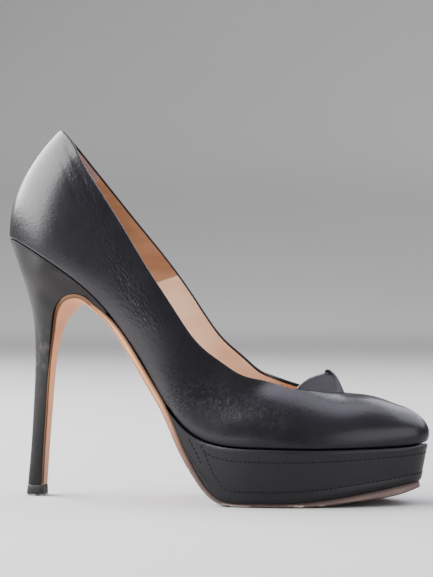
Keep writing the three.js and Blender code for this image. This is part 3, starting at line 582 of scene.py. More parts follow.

# Throat tab: a small raised peak of the same calf, folded over at its rim, though coloured lighter as painted
# light.
# It is set under the throat's edge, stands up, and is bent back over the foot, with its rim painted pale as a
# highlight.

TAB_THICK = 1.6
TAB_CLEAR = 1.5 * GAP  # how far it stands inside the throat's edge
TAB_FOLD_DEPTH = 0.24
TAB_HEIGHT = 9.7
TAB_REACH = 9.8
TAB_ROOT = 4
TAB_SAG = 0.7
TAB_SHARPNESS = 5
TAB_LEAST = 0.05
TAB_DROP = 0.57
TAB_LEAN = 0.2
TAB_FRONT = np.array(((0, 0), (0.3, 0.48), (0.5, 0.94), (1, 1)))  # its profile where it is bent back
TAB_FLANK = np.array(((0, 0), (0.33, 0.33), (0.66, 0.7), (1, 1)))  # and at its flat sides
TAB_FOLD = 2.1  # width of the edge folded over at its rim
TAB_PLACES = 9 / 13  # how far it reaches beside the throat, as the root of the way along
TAB_AROUND = 90
TAB_UP = 22
TAB_ROOT_ROWS = 4
RIM_TURNS = 6


def beside_throat(q):
    """A place beside the throat: q from -1, lateral, to 1, medial."""
    return THROAT - THROAT_SPAN * (TAB_PLACES * q) ** 2


def topline(q):
    u = beside_throat(q)
    side = "lateral" if q < 0 else "medial"
    return surface(side, u, top_share(u)), normal(side, u, top_share(u))


def tab_section(q):
    edge, up = topline(q)
    way = topline(q + 0.001)[0] - topline(q - 0.001)[0]
    inward = np.cross(up, way)
    inward /= np.linalg.norm(inward)
    scale = 1 - abs(q) ** TAB_SHARPNESS + TAB_LEAST
    flank = math.sin(abs(q) * math.pi / 2) ** 2
    height = TAB_HEIGHT * scale * (1 - TAB_DROP * flank)
    curl = TAB_FRONT * (1 - flank) + TAB_FLANK * flank
    curl = curl * (TAB_REACH * scale * (1 + TAB_LEAN * flank), height) + (TAB_CLEAR, 0)
    t = np.linspace(0, 1, TAB_UP)[:, None]
    w = 1 - t
    stand = w**3 * curl[0] + 3 * w**2 * t * curl[1] + 3 * w * t**2 * curl[2] + t**3 * curl[3]
    below = -WALL - GAP
    root_end, root_middle = (-TAB_ROOT, below - TAB_SAG), (-TAB_ROOT / 2, below - TAB_SAG / 3)
    root = np.array((root_end, root_middle, (-GAP, below), (1.2 * GAP, -WALL)))
    line = np.concatenate((root, stand))
    along = np.gradient(line, axis=0)
    along /= np.linalg.norm(along, axis=-1, keepdims=True)
    square = np.stack((along[:, 1], -along[:, 0]), -1)
    rim_way = np.linalg.norm(line[-1] - line, axis=-1)
    fold = TAB_FOLD_DEPTH * np.clip((TAB_FOLD - rim_way) / 0.5 + 0.5, 0, 1) * min(1, 4 * (1 - abs(q)))
    outer = line - square * fold[:, None]
    inner = line + square * TAB_THICK
    turn = np.linspace(0, math.pi, RIM_TURNS + 1)[1:-1, None]
    middle, half = (outer[-1] + inner[-1]) / 2, (outer[-1] - inner[-1]) / 2
    rim = middle + np.cos(turn) * half + np.sin(turn) * along[-1] * TAB_THICK * 0.4
    loop = np.concatenate((outer, rim, inner[::-1], outer[:1]))
    return edge + loop[:, :1] * inward + loop[:, 1:] * up


# Painted highlight: the tab's rim is coloured pale grey to stand in for the light caught along its fold.
rubbed_and_rim_highlight, tree, shader, place = surface_material("tab_rim_painted_highlight")
scuffs_and_rim_highlight = noise(tree, place, 420, 4)
dress(tree, shader, ramp(tree, scuffs_and_rim_highlight, ((0.35, (0.06, 0.057, 0.06)), (0.6, (0.2, 0.195, 0.2)))), 0.45)
shell = Shell()
places = np.linspace(-1, 1, TAB_AROUND + 1)
sections = [tab_section(q) for q in places]
ends = [np.repeat(s.mean(0)[None], len(s), 0) for s in (sections[0], sections[-1])]
# The rows of the rim and its fold, which take the pale painted highlight.
on_rim = np.zeros(len(sections[0]) - 1, int)
on_rim[TAB_ROOT_ROWS + TAB_UP - 2 : TAB_ROOT_ROWS + TAB_UP + RIM_TURNS + 3] = 1
shell.grid(np.stack([ends[0]] + sections + [ends[1]]), on_rim)
# Painted light: the tab's calf is several times lighter than the upper's, for the light that falls on the
# tab.
tab_calf_painted_light = calf("tab_calf_painted_light", (0.016, 0.0149, 0.0192), (0.024, 0.0227, 0.028), 0.5)
tab = shell.make("throat_tab_peak", (tab_calf_painted_light, rubbed_and_rim_highlight))
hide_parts("throat_tab")
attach(tab, "root")

# Sock: natural tan leather glued over the padded insole, out to the upper's inner wall. The board under it
# closes the shoe from below; its edge and underside are coloured near black as painted shade in the gap
# beside the sock.

INSOLE_THICK = 2.2
SOCK_ROUND = 0.9
SOCK_CROWN = 0.5


def feather_point(side, u, away, drop=0):
    """Places inside or outside the feather line, on its own level."""
    out_x, out_y = outward(side, u)
    half = np.maximum(foot_half[side](u) + out_y * away, 0)
    return np.stack((foot_x(u) + out_x * away, SIDES[side] * half, foot_z(u) - drop), -1)


def sock_leather():
    """Light tan leather, darker where the foot has rubbed it."""
    material, tree, shader, place = surface_material("sock_leather")
    cloud = noise(tree, place, 26, 5)
    fibre = noise(tree, place, 1100, 3)
    colours = ramp(tree, cloud, ((0.3, (0.42, 0.26, 0.165)), (0.7, (0.6, 0.4, 0.27))))
    dress(tree, shader, colours, 0.55, 0.35)
    bumped(tree, shader, ((fibre, 0.00004), (cloud, 0.0004)))
    return material


u = stations(1.6)
run = np.gradient(np.stack((foot_x(u), foot_z(u)), -1), axis=0)
run /= np.linalg.norm(run, axis=-1, keepdims=True)
square = np.stack((-run[:, 1], np.zeros(len(u)), run[:, 0]), -1)
square[0], square[-1] = square[1], square[-2]
inside = {side: feather_point(side, u, -WALL - GAP) for side in SIDES}
across = np.concatenate((np.linspace(0, 0.06, 5), np.linspace(0.1, 0.9, 22), np.linspace(0.94, 1, 5)))
edge = np.minimum(across, 1 - across) / 0.06
fall = SOCK_ROUND * (1 - np.sqrt(1 - np.clip(1 - edge, 0, 1) ** 2))
lift = INSOLE_THICK - fall + SOCK_CROWN * np.sin(np.pi * across) ** 2
flat = inside["lateral"][:, None] * (1 - across)[:, None] + inside["medial"][:, None] * across[:, None]
top = flat + square[:, None] * lift[:, None]
# Painted shade: the board is near black, so the gap between the sock and the upper's wall reads dark.
painted_shade_board, tree, shader, place = surface_material("insole_board_painted_shade")
fibre = noise(tree, place, 900, 3)
colours = ramp(tree, fibre, ((0.3, (0.008, 0.0075, 0.007)), (0.7, (0.016, 0.015, 0.014))))
dress(tree, shader, colours, 0.9, 0.1)
shell = Shell()
shell.grid(top)
shell.grid(flat, 1, True)
for k in (0, -1):
    shell.grid(np.stack((flat[:, k], top[:, k]), 1), 1)
    shell.grid(np.stack((flat[k], top[k]), 1), 1)
sock = shell.make("sock_lining", (sock_leather(), painted_shade_board), 0.9)
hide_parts("insole")
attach(sock, "root")

# Outsole: one strip of natural tan sole leather from the toe to the foot of the heel breast. Its waist is
# domed, its edge is bare and stained dark, and the tread under the ball is worn.

SOLE_THICK = 1.9
SOLE_INSET = 0.4
PLATFORM_LIP = 1
PLATFORM_REAR = 0.411 * LENGTH
TAPER_SHARE = 0.972
PLATFORM_BLEND = 0.1 * LENGTH
HEEL_TIP_WIDTH = 9
HEEL_SEAT_WIDTH = 50
TOP_PIECE_HEIGHT = 5.8
TOP_PIECE_FLARE = 0.35
BREAST_COVER = 1.1
SOLE = [
    dict(zip(("x", "rise", "half", "edge", "dome"), row))
    for row in (
        (0.974, 0.352, None, 1.7, 0),  # toe
        (0.936, 0.294, None, 2.25, 0),
        (0.87, 0.194, None, 2.0, 0),
        (0.78, 0.077, None, 1.56, 0),
        (0.7, 0.013, None, 1.18, 0),
        (0.63, 0, None, 1.03, 0),  # flat under the ball
        (0.57, 0, None, 1.08, 0),
        (0.541, 0.051, None, 1.1, 0),
        (0.521, 0.148, None, 1.21, 0),
        (0.488, 0.426, None, 1.47, 0.26),
        (0.455, 0.714, None, 1.68, 0.63),
        (0.412, 0.983, None, 1.79, 1.05),
        (0.381, 0.996, None, 1.79, 1.26),  # waist
        (0.334, 0.988, None, 1.74, 1.47),
        (0.289, 0.994, None, 1.58, 1.58),
        (0.258, 0.979, None, 1.26, 1.68),
        (0.234, 0.966, None, 1.1, 1.79),
        (0.211, 0.96, None, 1.05, 1.84),  # arch
        (0.188, 0.935, 1, 1.05, 1.84),
        (0.169, 0.901, 0.974, 1.05, 1.79),
        (0.153, 0.86, 0.9, 1, 1.58),
        (0.14, 0.814, 0.733, 0.95, 1.16),
        (0.1265, 0.755, 0.403, 0.79, 0.58),
        (0.118, 0.691, 0.196, 0.68, 0.21),
        (0.1109, 0.614, 0.099, 0.58, 0),  # heel breast
        (0.1025, 0.4753, 0.058, 0.58, 0),
        (0.0975, 0.3469, 0.029, 0.58, 0),
        (0.0915, 0.2007, 0.007, 0.58, 0),
    )
]
BREAST_FROM = 18

u_fine = np.linspace(0, END, 4000)
x_fine = foot_x(u_fine)


def feather_at(x):
    """The place on the feather line over an x."""
    return np.interp(x, x_fine, u_fine)


sole_rows = []
for row in SOLE:
    level = SOLE_THICK + (float(foot_z(feather_at(row["x"] * LENGTH))) - GAP - SOLE_THICK) * row["rise"]
    width = HEEL_TIP_WIDTH + (HEEL_SEAT_WIDTH - HEEL_TIP_WIDTH) * (row["half"] or 0)
    half = 0 if row["half"] is None else width / 2
    sole_rows.append((row["x"] * LENGTH, level, half, row["edge"] * SOLE_THICK, row["dome"] * SOLE_THICK))
tip_half = HEEL_TIP_WIDTH / 2 - TOP_PIECE_FLARE
sole_rows.append((HEEL_TIP_FRONT - BREAST_COVER, TOP_PIECE_HEIGHT + GAP, tip_half, BREAST_COVER, 0))
sole_rows = np.array(sole_rows)
sole_knots = np.concatenate(((0,), np.cumsum(np.hypot(*np.diff(sole_rows[:, :2], axis=0).T))))
sole_end = sole_knots[-1]
sole_x, sole_z, _, sole_edge, sole_dome = (spline(sole_knots, column) for column in sole_rows.T)
breast_half = spline(sole_knots[BREAST_FROM:], sole_rows[BREAST_FROM:, 2])


def sole_down(s):
    """The way from the strip's upper face to its lower face."""
    a, b = np.maximum(s - 0.3, 0), np.minimum(s + 0.3, sole_end)
    way = np.stack((sole_z(a) - sole_z(b), np.zeros(np.shape(s)), sole_x(b) - sole_x(a)), -1)
    return way / np.linalg.norm(way, axis=-1, keepdims=True)


def sole_half(side, s):
    x = sole_x(s)
    above = np.where(x < PLATFORM_REAR, x, PLATFORM_REAR + (x - PLATFORM_REAR) / TAPER_SHARE)
    full = foot_half[side](feather_at(above))
    tapered = full * TAPER_SHARE + PLATFORM_LIP - SOLE_INSET
    forward = np.clip((x - PLATFORM_REAR) / PLATFORM_BLEND, 0, 1)
    waist = (full - SOLE_INSET) * (1 - forward) + tapered * forward
    a, b = sole_knots[BREAST_FROM - 2], sole_knots[BREAST_FROM]
    back = np.clip((s - a) / (b - a), 0, 1)
    return np.where(s >= b, breast_half(s), waist * (1 - back) + breast_half(b) * back)


LOW_DARK_WAY = (-0.35, 0, 1)  # the way along which the sole's colour goes from dark pink-brown low and at the front to tan higher up


def sole_leather():
    """Sole leather: dark pink-brown and scuffed under the forefoot, going over to tan higher up the waist and
    breast.
    """
    material, tree, shader, place = surface_material("sole_leather")
    cloud = noise(tree, place, 35, 5, 0.65)
    fibre = noise(tree, place, 1300, 2)
    stretched = laid(tree, place, (0, 0, 0), (0.25, 1, 1))
    scrape = noise(tree, stretched, 420, 4)
    height = node(tree, "ShaderNodeSeparateXYZ", {0: place}).outputs["Z"]
    high_tan_colour = ramp(tree, cloud, ((0.3, (0.52, 0.22, 0.088)), (0.7, (0.64, 0.305, 0.138))))
    # Dark pink-brown low down and at the front, tan higher up the waist and breast, blended along the way
    # above.
    low_dark_colour = ramp(tree, cloud, ((0.3, (0.062, 0.041, 0.037)), (0.65, (0.145, 0.096, 0.084))))
    high = ranged(tree, along_way(tree, place, LOW_DARK_WAY), 0.02, 0.084)
    mixed = blend(tree, high, low_dark_colour, high_tan_colour)
    low = ranged(tree, height, 0.0006, 0.002, 1.0, 0.0)
    flecks = ramp(tree, scrape, ((0.5, 0.0), (0.57, 1.0)))
    scuffs_and_rim_highlight = times(tree, low, flecks)
    pale = blend(tree, scuffs_and_rim_highlight, mixed, (0.62, 0.52, 0.45, 1))
    dark = ranged(tree, worn_marks(tree)[0], 0.1, 0.75, 0.0, 0.9)
    edged = blend(tree, dark, pale, (0.02, 0.011, 0.008, 1))
    dress(tree, shader, edged, 0.5, 0.2)
    bumped(tree, shader, ((fibre, 0.00003), (cloud, 0.00025), (scuffs_and_rim_highlight, 0.0001)))
    return material


SOLE_ROUND = 0.45  # share of its edge over which the strip is rounded off
STAIN = 1.3  # width of the dark line along its edges, in millimetres
toe_places = sole_knots[2] * np.linspace(0, 1, 26) ** 2
s = np.concatenate((toe_places, np.arange(sole_knots[2] + 1, sole_end, 1.1), [sole_end]))
across = np.linspace(-1, 1, 27)
thick = sole_edge(s)[:, None] + sole_dome(s)[:, None] * (1 - across**2)
halves = {side: sole_half(side, s)[:, None] for side in SIDES}
y = (halves["medial"] * (1 + across) - halves["lateral"] * (1 - across)) / 2
centre = np.stack((sole_x(s), np.zeros(len(s)), sole_z(s)), -1)
low = centre[:, None] + sole_down(s)[:, None] * thick[..., None]
low[..., 1] = y
low[..., 2] = np.maximum(low[..., 2], 0)
radius = np.minimum(0.8, sole_edge(s) * SOLE_ROUND)[:, None]
from_edge = (halves["medial"] + halves["lateral"]) / 2 * (1 - np.abs(across))
stain = 0.8 * np.clip(1 - from_edge / STAIN, 0, 1)
on_breast = (s > sole_knots[BREAST_FROM - 2])[:, None]  # there the sides are stained right down
walls, wall_stains = [], []
for k, inwards in ((0, 1), (-1, -1)):
    high = np.stack((centre[:, 0], y[:, k], centre[:, 2]), -1)
    foot = low[:, k].copy()
    up = high - foot
    height = np.linalg.norm(up, axis=-1, keepdims=True)
    up *= radius / height
    wall = high[:, None] + (foot + up - high)[:, None] * np.linspace(0, 1, 6)[:, None]
    low[:, k] += 0.3 * up
    low[:, k, 1] += 0.3 * inwards * radius[:, 0]
    beside_end = np.abs(low[:, k + inwards, 1] - low[:, k, 1])
    low[:, k + inwards, 1] = low[:, k, 1] + inwards * np.minimum(beside_end, radius[:, 0])
    walls.append(wall)
    fading = np.clip(1 - (height - radius) * np.linspace(0, 1, 6) / (1.5 * STAIN), 0, 1)
    wall_stains.append(np.where(on_breast, 0.7, fading))
loops = np.concatenate((walls[0], low, walls[1][:, ::-1], walls[0][:, :1]), 1)
marks = np.zeros((*loops.shape[:2], 6))
marks[..., 3] = np.concatenate((wall_stains[0], stain, wall_stains[1][:, ::-1], wall_stains[0][:, :1]), 1)
shell = Shell()
shell.grid(loops, marks=marks)
for k in (0, -1):
    shell.grid(np.stack((np.repeat(loops[k].mean(0)[None], loops.shape[1], 0), loops[k])), 0, k == -1)
outsole = shell.make("outsole_strip", (sole_leather(),), 1.0)
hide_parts("outsole")
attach(outsole, "root")

# Platform: a light core covered with the same calf, with a stitched seam along the top, one along the bottom
# and a stitched joint behind on each side. The thread is black.

SEAM_DEPTH = 0.45
SEAM_REACH = 0.017  # half the width of a seam's groove, share of the height
FULL_SHARE = 0.6
UPPER_SEAM = 0.23
LOWER_SEAM = 0.78
SEAM_GROOVE = 0.15  # depth of a seam's groove, share of SEAM_DEPTH
SIDE_LEVELS = (0, 0.03, 0.09, 0.3, 0.6, 0.8, 0.93, 1)
SIDE_OUT = (-1.3, -0.3, 0.1, 0, 0.1, 0.3, 0.55, -0.4)
side_curve = spline(SIDE_LEVELS, SIDE_OUT)


def side_out(level):
    """How far the side stands out, share of SEAM_DEPTH."""
    grooves = sum(np.exp(-(((level - seam) / SEAM_REACH) ** 2)) for seam in (UPPER_SEAM, LOWER_SEAM))
    return side_curve(level) - SEAM_GROOVE * grooves


forefoot = np.linspace(0, sole_knots[BREAST_FROM - 3], 3000)


def sole_top(x):
    """The height of the outsole's upper face under an x."""
    return np.interp(x, sole_x(forefoot)[::-1], sole_z(forefoot)[::-1])


def platform_side(side, u, level, proud=0):
    """Points on the platform's side: u along the feather line, level from the top edge down."""
    top = feather_point(side, u, PLATFORM_LIP, GAP)
    tapered = PLATFORM_REAR + (top[..., 0] - PLATFORM_REAR) * TAPER_SHARE
    x = np.where(top[..., 0] < PLATFORM_REAR, top[..., 0], tapered)
    slope = (sole_top(x + 1) - sole_top(x - 1)) / 2
    height = top[..., 2] - sole_top(x) - GAP * np.hypot(1, slope)
    full = SEAM_DEPTH * np.clip(height / (PLATFORM_HEIGHT * FULL_SHARE), 0, 1)
    out_x, out_y = outward(side, u)
    stand = side_out(level) * full + proud
    half = np.abs(top[..., 1]) * (1 - level + level * TAPER_SHARE)
    points = (top[..., 0] * (1 - level) + x * level + out_x * stand, SIDES[side] * (half + out_y * stand))
    return np.stack(np.broadcast_arrays(*points, top[..., 2] - height * level), -1)


platform_calf = calf("platform_calf", (0.0042, 0.0038, 0.0052), (0.0062, 0.0057, 0.0074), 0.4)
rear = float(feather_at(PLATFORM_REAR))
t = np.linspace(0, 1, 190)
u = (rear + (END - rear) * (0.6 * t + 0.4 * np.sin(t * np.pi / 2)))[:, None]
levels = np.unique(np.concatenate((np.linspace(0, 0.1, 10), np.linspace(0.1, 1, 110))))
sides = {side: platform_side(side, u, levels) for side in SIDES}
shell = Shell()
for side in SIDES:
    shell.grid(sides[side], 0, side == "lateral")
shell.grid(np.stack((sides["lateral"][:, 0], sides["medial"][:, 0]), 1))
shell.grid(np.stack((sides["lateral"][:, -1], sides["medial"][:, -1]), 1), 0, True)
shell.grid(np.stack((sides["lateral"][0], sides["medial"][0])))
platform = shell.make("platform_cover", (platform_calf,), 1.0)
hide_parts("platform")
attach(platform, "root")


def stitch_tree():
    """One thread stitch on every vertex, turned by the vertex's own angles."""
    tree = bpy.data.node_groups.new("stitches", "GeometryNodeTree")
    tree.interface.new_socket("Geometry", in_out="INPUT", socket_type="NodeSocketGeometry")
    for name in ("Length", "Width", "Height"):
        tree.interface.new_socket(name, in_out="INPUT", socket_type="NodeSocketFloat")
    tree.interface.new_socket("Thread", in_out="INPUT", socket_type="NodeSocketMaterial")
    tree.interface.new_socket("Geometry", in_out="OUTPUT", socket_type="NodeSocketGeometry")
    inputs = node(tree, "NodeGroupInput").outputs
    ball = node(tree, "GeometryNodeMeshUVSphere", {"Segments": 8, "Rings": 6, "Radius": 0.5}).outputs[0]
    sizes = {0: inputs["Length"], 1: inputs["Width"], 2: inputs["Height"]}
    size = node(tree, "ShaderNodeCombineXYZ", sizes).outputs[0]
    turn = node(tree, "GeometryNodeInputNamedAttribute", {"Name": "turn"}, data_type="FLOAT_VECTOR")
    turn = node(tree, "FunctionNodeEulerToRotation", {0: turn.outputs[0]}).outputs[0]
    links = {"Points": inputs["Geometry"], "Instance": ball, "Rotation": turn, "Scale": size}
    placed = node(tree, "GeometryNodeInstanceOnPoints", links).outputs[0]
    real = node(tree, "GeometryNodeRealizeInstances", {0: placed}).outputs[0]
    smooth = node(tree, "GeometryNodeSetShadeSmooth", {0: real}).outputs[0]
    dressed = node(tree, "GeometryNodeSetMaterial", {"Geometry": smooth, "Material": inputs["Thread"]})
    node(tree, "NodeGroupOutput", {0: dressed.outputs[0]})
    return tree


def thread_material():
    material, tree, shader, place = surface_material("black_thread")
    twist = noise(tree, place, 2500, 2)
    colours = ramp(tree, twist, ((0.4, (0.0025, 0.0025, 0.0028)), (0.75, (0.016, 0.016, 0.018))))
    dress(tree, shader, colours, 0.85, 0.1)
    bumped(tree, shader, ((twist, 0.00005),))
    return material


STITCHES = stitch_tree()
THREAD = thread_material()


def along(rows, gone, at):
    """Rows of a path at lengths gone along it."""
    return np.stack([np.interp(at, gone, column) for column in rows.T], -1)


def sew(name, path, outs, pitch, length, width, height, body="root", slot="platform"):
    """Stitches of one length along a path in millimetres, lying on the leather that faces outs."""
    gone = np.concatenate(((0,), np.cumsum(np.linalg.norm(np.diff(path, axis=0), axis=-1))))
    at = np.arange(pitch / 2, gone[-1], pitch)
    points, before, after = (along(path, gone, at + step) for step in (0, -0.2, 0.2))
    faces = along(outs, gone, at)
    turns = []
    for way, up in zip(after - before, faces):
        x = way / np.linalg.norm(way)
        z = up - x * (up @ x)
        z /= np.linalg.norm(z)
        y = np.cross(z, x)
        turns.append((math.atan2(y[2], z[2]), math.asin(-min(1, max(-1, x[2]))), math.atan2(x[1], x[0])))
    mesh = bpy.data.meshes.new(name)
    mesh.from_pydata(((points + SHIFT) / 1000).tolist(), [], [])
    turn = mesh.attributes.new("turn", "FLOAT_VECTOR", "POINT")
    turn.data.foreach_set("vector", np.array(turns).reshape(-1))
    work = bpy.data.objects.new(name, mesh)
    bpy.context.scene.collection.objects.link(work)
    modifier = work.modifiers.new("stitches", "NODES")
    modifier.node_group = STITCHES
    values = {"Length": length / 1000, "Width": width / 1000, "Height": height / 1000, "Thread": THREAD}
    for item in STITCHES.interface.items_tree:
        if item.in_out == "INPUT" and item.name in values:
            modifier[item.identifier] = values[item.name]
    evaluated = work.evaluated_get(bpy.context.evaluated_depsgraph_get())
    made = bpy.data.meshes.new_from_object(evaluated)
    work.modifiers.remove(modifier)
    work.data = made
    bpy.data.meshes.remove(mesh)
    made.name = name
    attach(work, body)
    return work


def side_path(side, rows):
    """A line on the platform's side through rows of place and level, with its outward ways."""
    u, level = np.array(rows).T
    t = np.linspace(0, 1, 200)
    steps = np.linspace(0, 1, len(u))
    u, level = np.interp(t, steps, u), np.interp(t, steps, level)
    points = platform_side(side, u, level, 0.08)
    out_x, out_y = outward(side, u)
    return points, np.stack((out_x, SIDES[side] * out_y, np.zeros(len(u))), -1)


STITCH = dict(pitch=2.45, length=1.7, width=0.6, height=0.4)
JOINT_X = (0.4976, 0.5046, 0.5265, 0.555)  # the rear joint's line from the top down, shares of LENGTH
JOINT_LEVEL = (0.1, 0.2, 0.53, 0.78)
SHORT_X = (0.4677, 0.5016)  # the short row behind it
SHORT_LEVEL = (0.22, 0.58)
for name, level in (("upper_seam_stitches", UPPER_SEAM), ("lower_seam_stitches", LOWER_SEAM)):
    start = JOINT_X[1] if level == UPPER_SEAM else JOINT_X[3]
    from_u = float(feather_at(start * LENGTH))
    one = side_path("lateral", ((from_u, level), (END, level)))
    two = side_path("medial", ((END, level), (from_u, level)))
    sew(name, np.concatenate((one[0], two[0][1:])), np.concatenate((one[1], two[1][1:])), **STITCH)
for side in SIDES:
    for kind, places, levels in (("joint", JOINT_X, JOINT_LEVEL), ("rear", SHORT_X, SHORT_LEVEL)):
        rows = [(float(feather_at(x * LENGTH)), level) for x, level in zip(places, levels)]
        sew(f"{kind}_stitches_{side}", *side_path(side, rows), **STITCH)

# Heel: a slim moulded heel covered in one piece of black leather, drawn tight to its back and glued in under
# the sole's strip on the breast. It is nailed on from inside, and its shaft is rubbed pale in places.

HEEL = [
    (0.005, 0.998, 0, 1),
    (0.0115, 0.97, 0.05, 0.98),
    (0.019, 0.939, 0.11, 0.93),
    (0.028, 0.9, 0.17, 0.83),
    (0.037, 0.863, 0.22, 0.7),
    (0.0465, 0.824, 0.27, 0.54),
    (0.053, 0.783, 0.32, 0.38),
    (0.061, 0.722, 0.38, 0.21),
    (0.065, 0.657, 0.44, 0.09),
    (0.0665, 0.58, 0.52, 0.02),
    (0.0662, 0.48, 0.61, 0),
    (0.062, 0.346, 0.73, 0),
    (0.056, 0.19, 0.86, 0),
    (0.0475, 0.0445, 1, 0),
]
WING_TIP = 0.267 * LENGTH
heel_knots = np.linspace(0, 1, len(HEEL))
heel_x, heel_z, heel_breast, heel_seat = (spline(heel_knots, column) for column in zip(*HEEL))


def heel_leather():
    """Black cover leather, rubbed pale in places on the shaft."""
    material, tree, shader, place = surface_material("heel_calf")
    cloud = noise(tree, place, 40, 5, 0.6)
    pores = cells(tree, place, 1200)["Distance"]
    scuff_map = laid(tree, place, (0, 0, 0), (1, 1, 0.8))
    scuff = noise(tree, scuff_map, 260, 5)
    height = node(tree, "ShaderNodeSeparateXYZ", {0: place}).outputs["Z"]
    band = ranged(tree, height, 0.062, 0.092)
    band = ramp(tree, band, ((0.0, 0.12), (0.3, 1.0), (0.7, 1.0), (1.0, 0.0)))
    marks = times(tree, ramp(tree, scuff, ((0.48, 0.0), (0.68, 1.0))), band)
    colours = ramp(tree, cloud, ((0.35, (0.0048, 0.0043, 0.0048)), (0.7, (0.0078, 0.0071, 0.0078))))
    rubbed_and_rim_highlight = blend(tree, marks, colours, (0.03, 0.028, 0.028, 1))
    tree.links.new(rubbed_and_rim_highlight, shader.inputs["Base Color"])
    gloss = ranged(tree, cloud, 0.3, 0.7, 0.36, 0.5)
    tree.links.new(gloss, shader.inputs["Roughness"])
    shader.inputs["Specular IOR Level"].default_value = 0.15
    shader.inputs["Coat Weight"].default_value = 0.03
    shader.inputs["Coat Roughness"].default_value = 0.35
    bumped(tree, shader, ((pores, 0.00003), (cloud, 0.0002)))
    return material


wing = float(feather_at(WING_TIP))
wing_s = float(np.interp(-WING_TIP, -sole_x(forefoot), forefoot))
w = np.linspace(0, 1, 44)
u = wing * (1 - w)
rings = {side: [feather_point(side, u, 0, GAP)] for side in SIDES}
for t in np.concatenate((np.linspace(0, 0.04, 4)[1:-1], np.linspace(0.04, 1, 120))):
    s = wing_s + (sole_end - wing_s) * heel_breast(t)
    front = np.array((float(sole_x(s)), 0, float(sole_z(s)))) - sole_down(s) * GAP
    back = np.array((heel_x(t) * LENGTH, heel_z(t) * HEEL_HEIGHT))
    seat = min(max(float(heel_seat(t)), 0), 1)
    for side in SIDES:
        foot = np.stack((foot_x(u), foot_half[side](u), foot_z(u) - GAP), -1)
        seat_share = np.clip((foot[0, 0] - foot[:, 0]) / (foot[0, 0] - foot_x(0)), 0, 1)
        share = np.sin(w * np.pi / 2) * (1 - seat) + seat_share * seat
        half = float(sole_half(side, s)) * np.cos(w * np.pi / 2) * (1 - seat) + foot[:, 1] * seat
        half[-1] = 0
        sag = foot[:, 2] - (foot[0, 2] + (foot_z(0) - GAP - foot[0, 2]) * seat_share)
        x = front[0] + (back[0] - front[0]) * share
        z = front[2] + (back[1] - front[2]) * share + sag * seat**2
        rings[side].append(np.stack((x, SIDES[side] * half, z), -1))
lateral, medial = np.stack(rings["lateral"]), np.stack(rings["medial"])
shell = Shell()
shell.grid(lateral)
shell.grid(medial, 0, True)
shell.grid(np.stack((medial[:, 0], lateral[:, 0]), 1))
shell.grid(np.stack((lateral[0], medial[0]), 1))
shell.grid(np.stack((lateral[-1], medial[-1]), 1), 0, True)
heel = shell.make("heel_cover", (heel_leather(),), 0.8)
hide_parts("heel")
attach(heel, "root")

# Top piece: a small lift of hard black rubber, moulded in one and pinned under the heel. It is a little wider
# than the heel's end, and its lower edge is scuffed and chipped pale.

HEEL_TIP_LENGTH = 9.7


def lift_rubber():
    material, tree, shader, place = surface_material("lift_rubber")
    cloud = noise(tree, place, 300, 5)
    fine = noise(tree, place, 1800, 2)
    black, grey, pale = (0.006, 0.006, 0.006), (0.012, 0.0115, 0.0115), (0.08, 0.076, 0.074)
    colours = ramp(tree, cloud, ((0.35, black), (0.62, grey), (0.8, pale)))
    height = node(tree, "ShaderNodeSeparateXYZ", {0: place}).outputs["Z"]
    chipped = ranged(tree, height, 0.0012, 0.0004)
    chipped = times(tree, chipped, ramp(tree, cloud, ((0.4, 0.1), (0.55, 1.0))))
    edged = blend(tree, chipped, colours, (0.3, 0.29, 0.29, 1))
    dress(tree, shader, edged, 0.6, 0.15)
    bumped(tree, shader, ((fine, 0.00005), (cloud, 0.0003)))
    return material


# Its side, as levels from the floor up and how far it stands out there in millimetres.
LIFT_PROFILE = ((0, -0.35), (0.05, 0), (0.2, 0.25), (0.6, 0.15), (0.93, 0), (1, -0.3))
angle = np.linspace(-math.pi / 2, math.pi / 2, 49)
rows = []
for level, out in LIFT_PROFILE:
    grow = TOP_PIECE_FLARE * (1 - level) + out
    x = HEEL_TIP_FRONT - (HEEL_TIP_LENGTH + grow) * np.cos(angle) ** 0.9
    y = (HEEL_TIP_WIDTH / 2 + grow) * np.sin(angle)
    rows.append(np.stack((x, y, np.full(len(angle), TOP_PIECE_HEIGHT * level)), -1))
rows = np.stack(rows)
rows = np.concatenate((rows, rows[:, :1]), 1)
middle = rows.mean(1, keepdims=True)
shell = Shell()
shell.grid(rows)
for k in (0, -1):
    shell.grid(np.stack((np.repeat(middle[k], rows.shape[1], 0), rows[k])), 0, k == -1)
lift = shell.make("heel_lift", (lift_rubber(),), 0.7)
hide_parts("top_piece")
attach(lift, "root")

# Floor, light and camera: a pale paper floor that curves up all round. Soft boxes stand behind the heel, over
# the shoe and before the toe. Two panels low beside the heel are seen only in the leather's reflections.

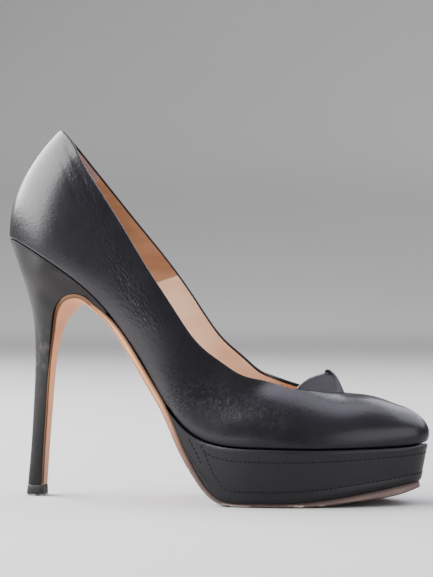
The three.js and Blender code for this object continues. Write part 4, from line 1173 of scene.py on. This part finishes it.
BOWL = ((0, 0), (2.2, 0), (2.7, 0.06), (3.1, 0.3), (3.3, 0.8), (3.35, 2.4))
t = np.linspace(0, 1, 40)
profile = np.stack([spline(np.linspace(0, 1, len(BOWL)), column)(t) for column in zip(*BOWL)], -1)
turn = np.linspace(0, 2 * math.pi, 97)
reach, height = profile[:, :1], np.maximum(profile[:, 1:], 0)
bowl = np.stack(np.broadcast_arrays(reach * np.cos(turn), reach * np.sin(turn), height), -1)
shell = Shell()
shell.grid(bowl * 1000 - SHIFT)
paper, tree, shader, place = surface_material("studio_paper")
tint = noise(tree, place, 1.5, 2)
dress(tree, shader, ramp(tree, tint, ((0.3, (0.3, 0.297, 0.292)), (0.7, (0.32, 0.317, 0.312)))), 0.8)
floor = shell.make("studio_floor", (paper,))

world = bpy.data.worlds.new("studio")
bpy.context.scene.world = world
world.use_nodes = True
world.node_tree.nodes["Background"].inputs[0].default_value = (0.93, 0.95, 1, 1)
world.node_tree.nodes["Background"].inputs[1].default_value = 0.8


def softbox(name, place, target, size, power, colour=(1, 1, 1)):
    light = bpy.data.lights.new(name, "AREA")
    light.shape = "RECTANGLE"
    light.size, light.size_y = size
    light.energy = power
    light.color = colour
    lamp = bpy.data.objects.new(name, light)
    bpy.context.scene.collection.objects.link(lamp)
    lamp.location = place
    lamp.visible_camera = False
    way = np.array(target) - np.array(place)
    flat = math.hypot(way[0], way[1])
    lamp.rotation_euler = (math.atan2(flat, -way[2]), 0, math.atan2(-way[0], way[1]))
    return lamp


softbox("heel_light", (-1.3, -0.05, 1.02), (0, 0, 0.08), (2.3, 1.1), 220)
softbox("back_light", (0.84, 0.84, 1.07), (0, 0, 0.05), (1.7, 1.0), 33, (0.88, 0.86, 1))
softbox("top_light", (0.15, 0.3, 1.5), (0, 0, 0.05), (1.0, 0.7), 11, (0.88, 0.85, 1))
softbox("toe_fill", (1.34, -0.77, 0.41), (0, 0, 0.08), (1.5, 1.1), 21)
softbox("low_panel", (-0.75, -0.3, 0.01), (-0.75, -0.3, 1), (0.9, 0.7), 12, (1, 0.96, 0.95))
softbox("table_panel", (-0.55, -1.1, 0.01), (-0.55, -1.1, 1), (1.0, 1.7), 33, (1, 0.95, 0.96))

camera_data = bpy.data.cameras.new("camera")
camera_data.lens = 119.3
camera_data.clip_end = 20
camera = bpy.data.objects.new("camera", camera_data)
camera.location = (0.19125, -0.9812, 0.11)
camera.rotation_euler = (math.radians(90), 0, math.radians(11))
bpy.context.scene.collection.objects.link(camera)
bpy.context.scene.camera = camera
